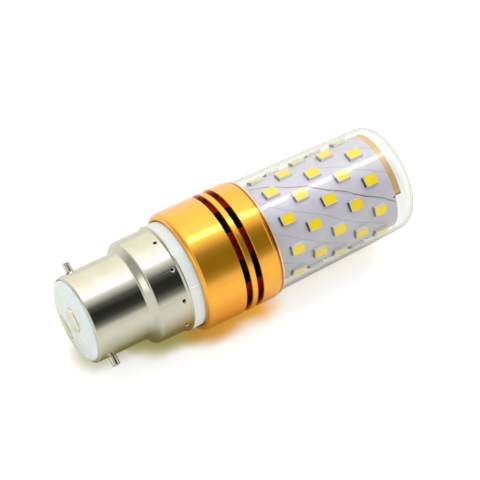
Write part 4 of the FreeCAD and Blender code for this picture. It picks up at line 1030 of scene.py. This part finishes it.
def make_world():
    """A fill light, a pale studio with a dark camera side seen in gloss, and white behind it all."""
    world = bpy.data.worlds.new("studio")
    bpy.context.scene.world = world
    world.use_nodes = True
    world.cycles.sampling_method = "NONE"
    background = world.node_tree.nodes["Background"]
    out = world.node_tree.nodes["World Output"]
    way = add(world, "ShaderNodeTexCoord").outputs["Generated"]
    sideways = lean_along(world, way, DOWNWARDS)
    angle = math_node(world, "ARCTAN2", sideways, lean_along(world, way, TOWARDS))
    turn = math_node(world, "MULTIPLY_ADD", angle, 1 / (2 * math.pi), 0.5)

    def at(degrees):
        return 0.5 + degrees / 360

    studio = ramp(
        world,
        turn,
        [
            (at(-180), (1.00, 0.99, 0.90)),
            (at(-130), (1.20, 1.17, 0.96)),
            (at(-90), (1.42, 1.36, 1.12)),
            (at(-62), (1.62, 1.61, 1.56)),
            (at(-38), (1.62, 1.61, 1.56)),
            (at(-30), (0.96, 0.96, 0.91)),
            (at(-12), (0.14, 0.14, 0.13)),
            (at(4), (0.025, 0.025, 0.022)),
            (at(24), (0.05, 0.05, 0.045)),
            (at(36), (0.26, 0.25, 0.21)),
            (at(47), (0.90, 0.88, 0.80)),
            (at(100), (1.00, 0.98, 0.90)),
        ],
    )
    cap_side = ramp(
        world,
        share_along(world, way, HEAD),
        [
            (0.012, (1.6, 1.6, 1.55)),
            (0.03, (0.54, 0.53, 0.48)),
            (0.11, (0.44, 0.43, 0.38)),
            (0.18, (0.80, 0.78, 0.70)),
            (0.40, (1.00, 0.98, 0.90)),
        ],
    )
    below = ramp(world, turn, [(at(-5), (0, 0, 0)), (at(30), (1, 1, 1))])
    ends = mix_colour(world, below, cap_side, (0.95, 0.92, 0.83, 1))
    sides = ramp(
        world,
        share_along(world, way, HEAD),
        [(0.27, (0, 0, 0)), (0.36, (1, 1, 1)), (0.80, (1, 1, 1)), (0.88, (0, 0, 0))],
    )
    studio = mix_colour(world, sides, ends, studio)
    key = TOWARDS * math.cos(FILL_TURN) + DOWNWARDS * math.sin(FILL_TURN)
    fill = mix_colour(world, share_along(world, way, key), (*FILL_LOW, 1), (*FILL_HIGH, 1))
    path = add(world, "ShaderNodeLightPath")
    direct = math_node(world, "LESS_THAN", path.outputs["Diffuse Depth"], 0.5)
    mirrored = math_node(world, "GREATER_THAN", path.outputs["Glossy Depth"], 0.5)
    gloss = mix_colour(world, mirrored, (1, 1, 1, 1), studio)
    seen = mix_colour(world, direct, fill, gloss)
    link(world, seen, background.inputs["Color"])
    link(world, background.outputs["Background"], out.inputs["Surface"])


def make_softbox():
    """The one lamp, a long area light that looks at the sleeve's front edge."""
    round_axis = TOWARDS * math.cos(SOFTBOX_TURN) + DOWNWARDS * math.sin(SOFTBOX_TURN)
    way = round_axis * math.cos(SOFTBOX_LEAN) + HEAD * math.sin(SOFTBOX_LEAN)
    target = Vector((0, 0, SLEEVE_FRONT))
    data = bpy.data.lights.new("softbox", "AREA")
    data.shape = "RECTANGLE"
    data.size, data.size_y = SOFTBOX_SIZE
    data.energy = SOFTBOX_POWER
    lamp = bpy.data.objects.new("softbox", data)
    across = round_axis.cross(Vector((0, 0, 1))).normalized()
    lengthwise = way.cross(across).normalized()
    turned = Matrix((lengthwise, across, way)).transposed().to_4x4()
    lamp.matrix_world = Matrix.Translation(target + way * SOFTBOX_DISTANCE) @ turned
    bpy.context.scene.collection.objects.link(lamp)


def main():
    nickel = make_nickel()
    gold = make_gold()
    clear = make_clear()
    housing = make_plastic("housing_white", (0.76, 0.79, 0.77), (0.72, 0.75, 0.73), coat=0.1)
    insulator = make_plastic(
        "insulator_white", (0.76, 0.83, 0.84), (0.69, 0.77, 0.78), rough=(0.18, 0.28), coat=0.3
    )
    contact = make_metal(
        "contact_metal", (0.84, 0.82, 0.74), (0.74, 0.72, 0.64), rough=(0.22, 0.36), metallic=0.7
    )
    # Painted shade: the aluminium core tube is coloured near black for the shade inside the sleeve, as seen
    # through the slots.
    aluminium = make_metal("core_aluminium", (0.035, 0.035, 0.035), (0.02, 0.02, 0.02), rough=(0.5, 0.65))
    board = make_board()
    copper = make_copper()
    led_white = make_plastic("led_white", (0.90, 0.90, 0.89), (0.85, 0.85, 0.84), size=MM)
    phosphor = make_phosphor()
    # Terminal metal darkened to a near black grey, partly for the solder and partly as painted shade at the
    # packages' ends.
    terminal = make_metal("terminal_metal", (0.20, 0.20, 0.195), (0.12, 0.12, 0.118))

    make_cover(clear)
    make_sleeve(gold)
    make_cap(nickel)
    make_pins(nickel)
    paint("cap_insulator", insulator)
    make_board_sheet(board)
    for number in range(1, LED_RINGS + 1):
        make_led_ring(number, led_white, phosphor, terminal)
    paint("driver_housing", housing)
    make_contacts(contact)
    edge = make_plastic("laminate_edge", (0.48, 0.33, 0.24), (0.36, 0.24, 0.17), size=2 * MM)
    make_seam_edge(edge)
    make_test_pad(copper)
    # Painted highlight: the ribs are whiter than the housing, so that they read as bright lines.
    rib_highlight = make_plastic("rib_highlight_white", (0.95, 0.97, 0.96), (0.91, 0.93, 0.92), coat=0.2)
    make_parting_lines(rib_highlight)
    paint("core_tube", aluminium)
    paint("board_end_strip", copper)
    inner = {
        "driver_board": make_plastic("fibreglass", (0.62, 0.58, 0.34), (0.52, 0.50, 0.28), size=MM),
        "bulk_capacitor": make_plastic(
            "capacitor_sleeve", (0.05, 0.07, 0.12), (0.03, 0.04, 0.07), coat=0.5
        ),
        "fusible_resistor": make_plastic("resistor_ceramic", (0.40, 0.52, 0.40), (0.32, 0.44, 0.33)),
        "film_capacitor": make_plastic("film_case", (0.78, 0.55, 0.10), (0.68, 0.45, 0.07), coat=0.4),
        "power_inductor": make_plastic("ferrite", (0.10, 0.10, 0.11), (0.06, 0.06, 0.07)),
        "driver_chip": make_plastic("black_epoxy", (0.04, 0.04, 0.04), (0.02, 0.02, 0.02)),
        "supply_lead_back": make_plastic("lead_blue", (0.08, 0.16, 0.40), (0.06, 0.12, 0.32)),
        "led_lead_plus": make_plastic("lead_red", (0.55, 0.05, 0.05), (0.45, 0.03, 0.03)),
        "led_lead_minus": make_plastic("lead_black", (0.03, 0.03, 0.03), (0.02, 0.02, 0.02)),
    }
    for node, material in inner.items():
        paint(node, material)
    paint("bridge_rectifier", inner["driver_chip"])
    paint("supply_lead_front", inner["supply_lead_back"])

    make_camera()
    make_floor()
    make_world()
    make_softbox()
    bpy.context.scene.view_settings.view_transform = "Standard"


main()
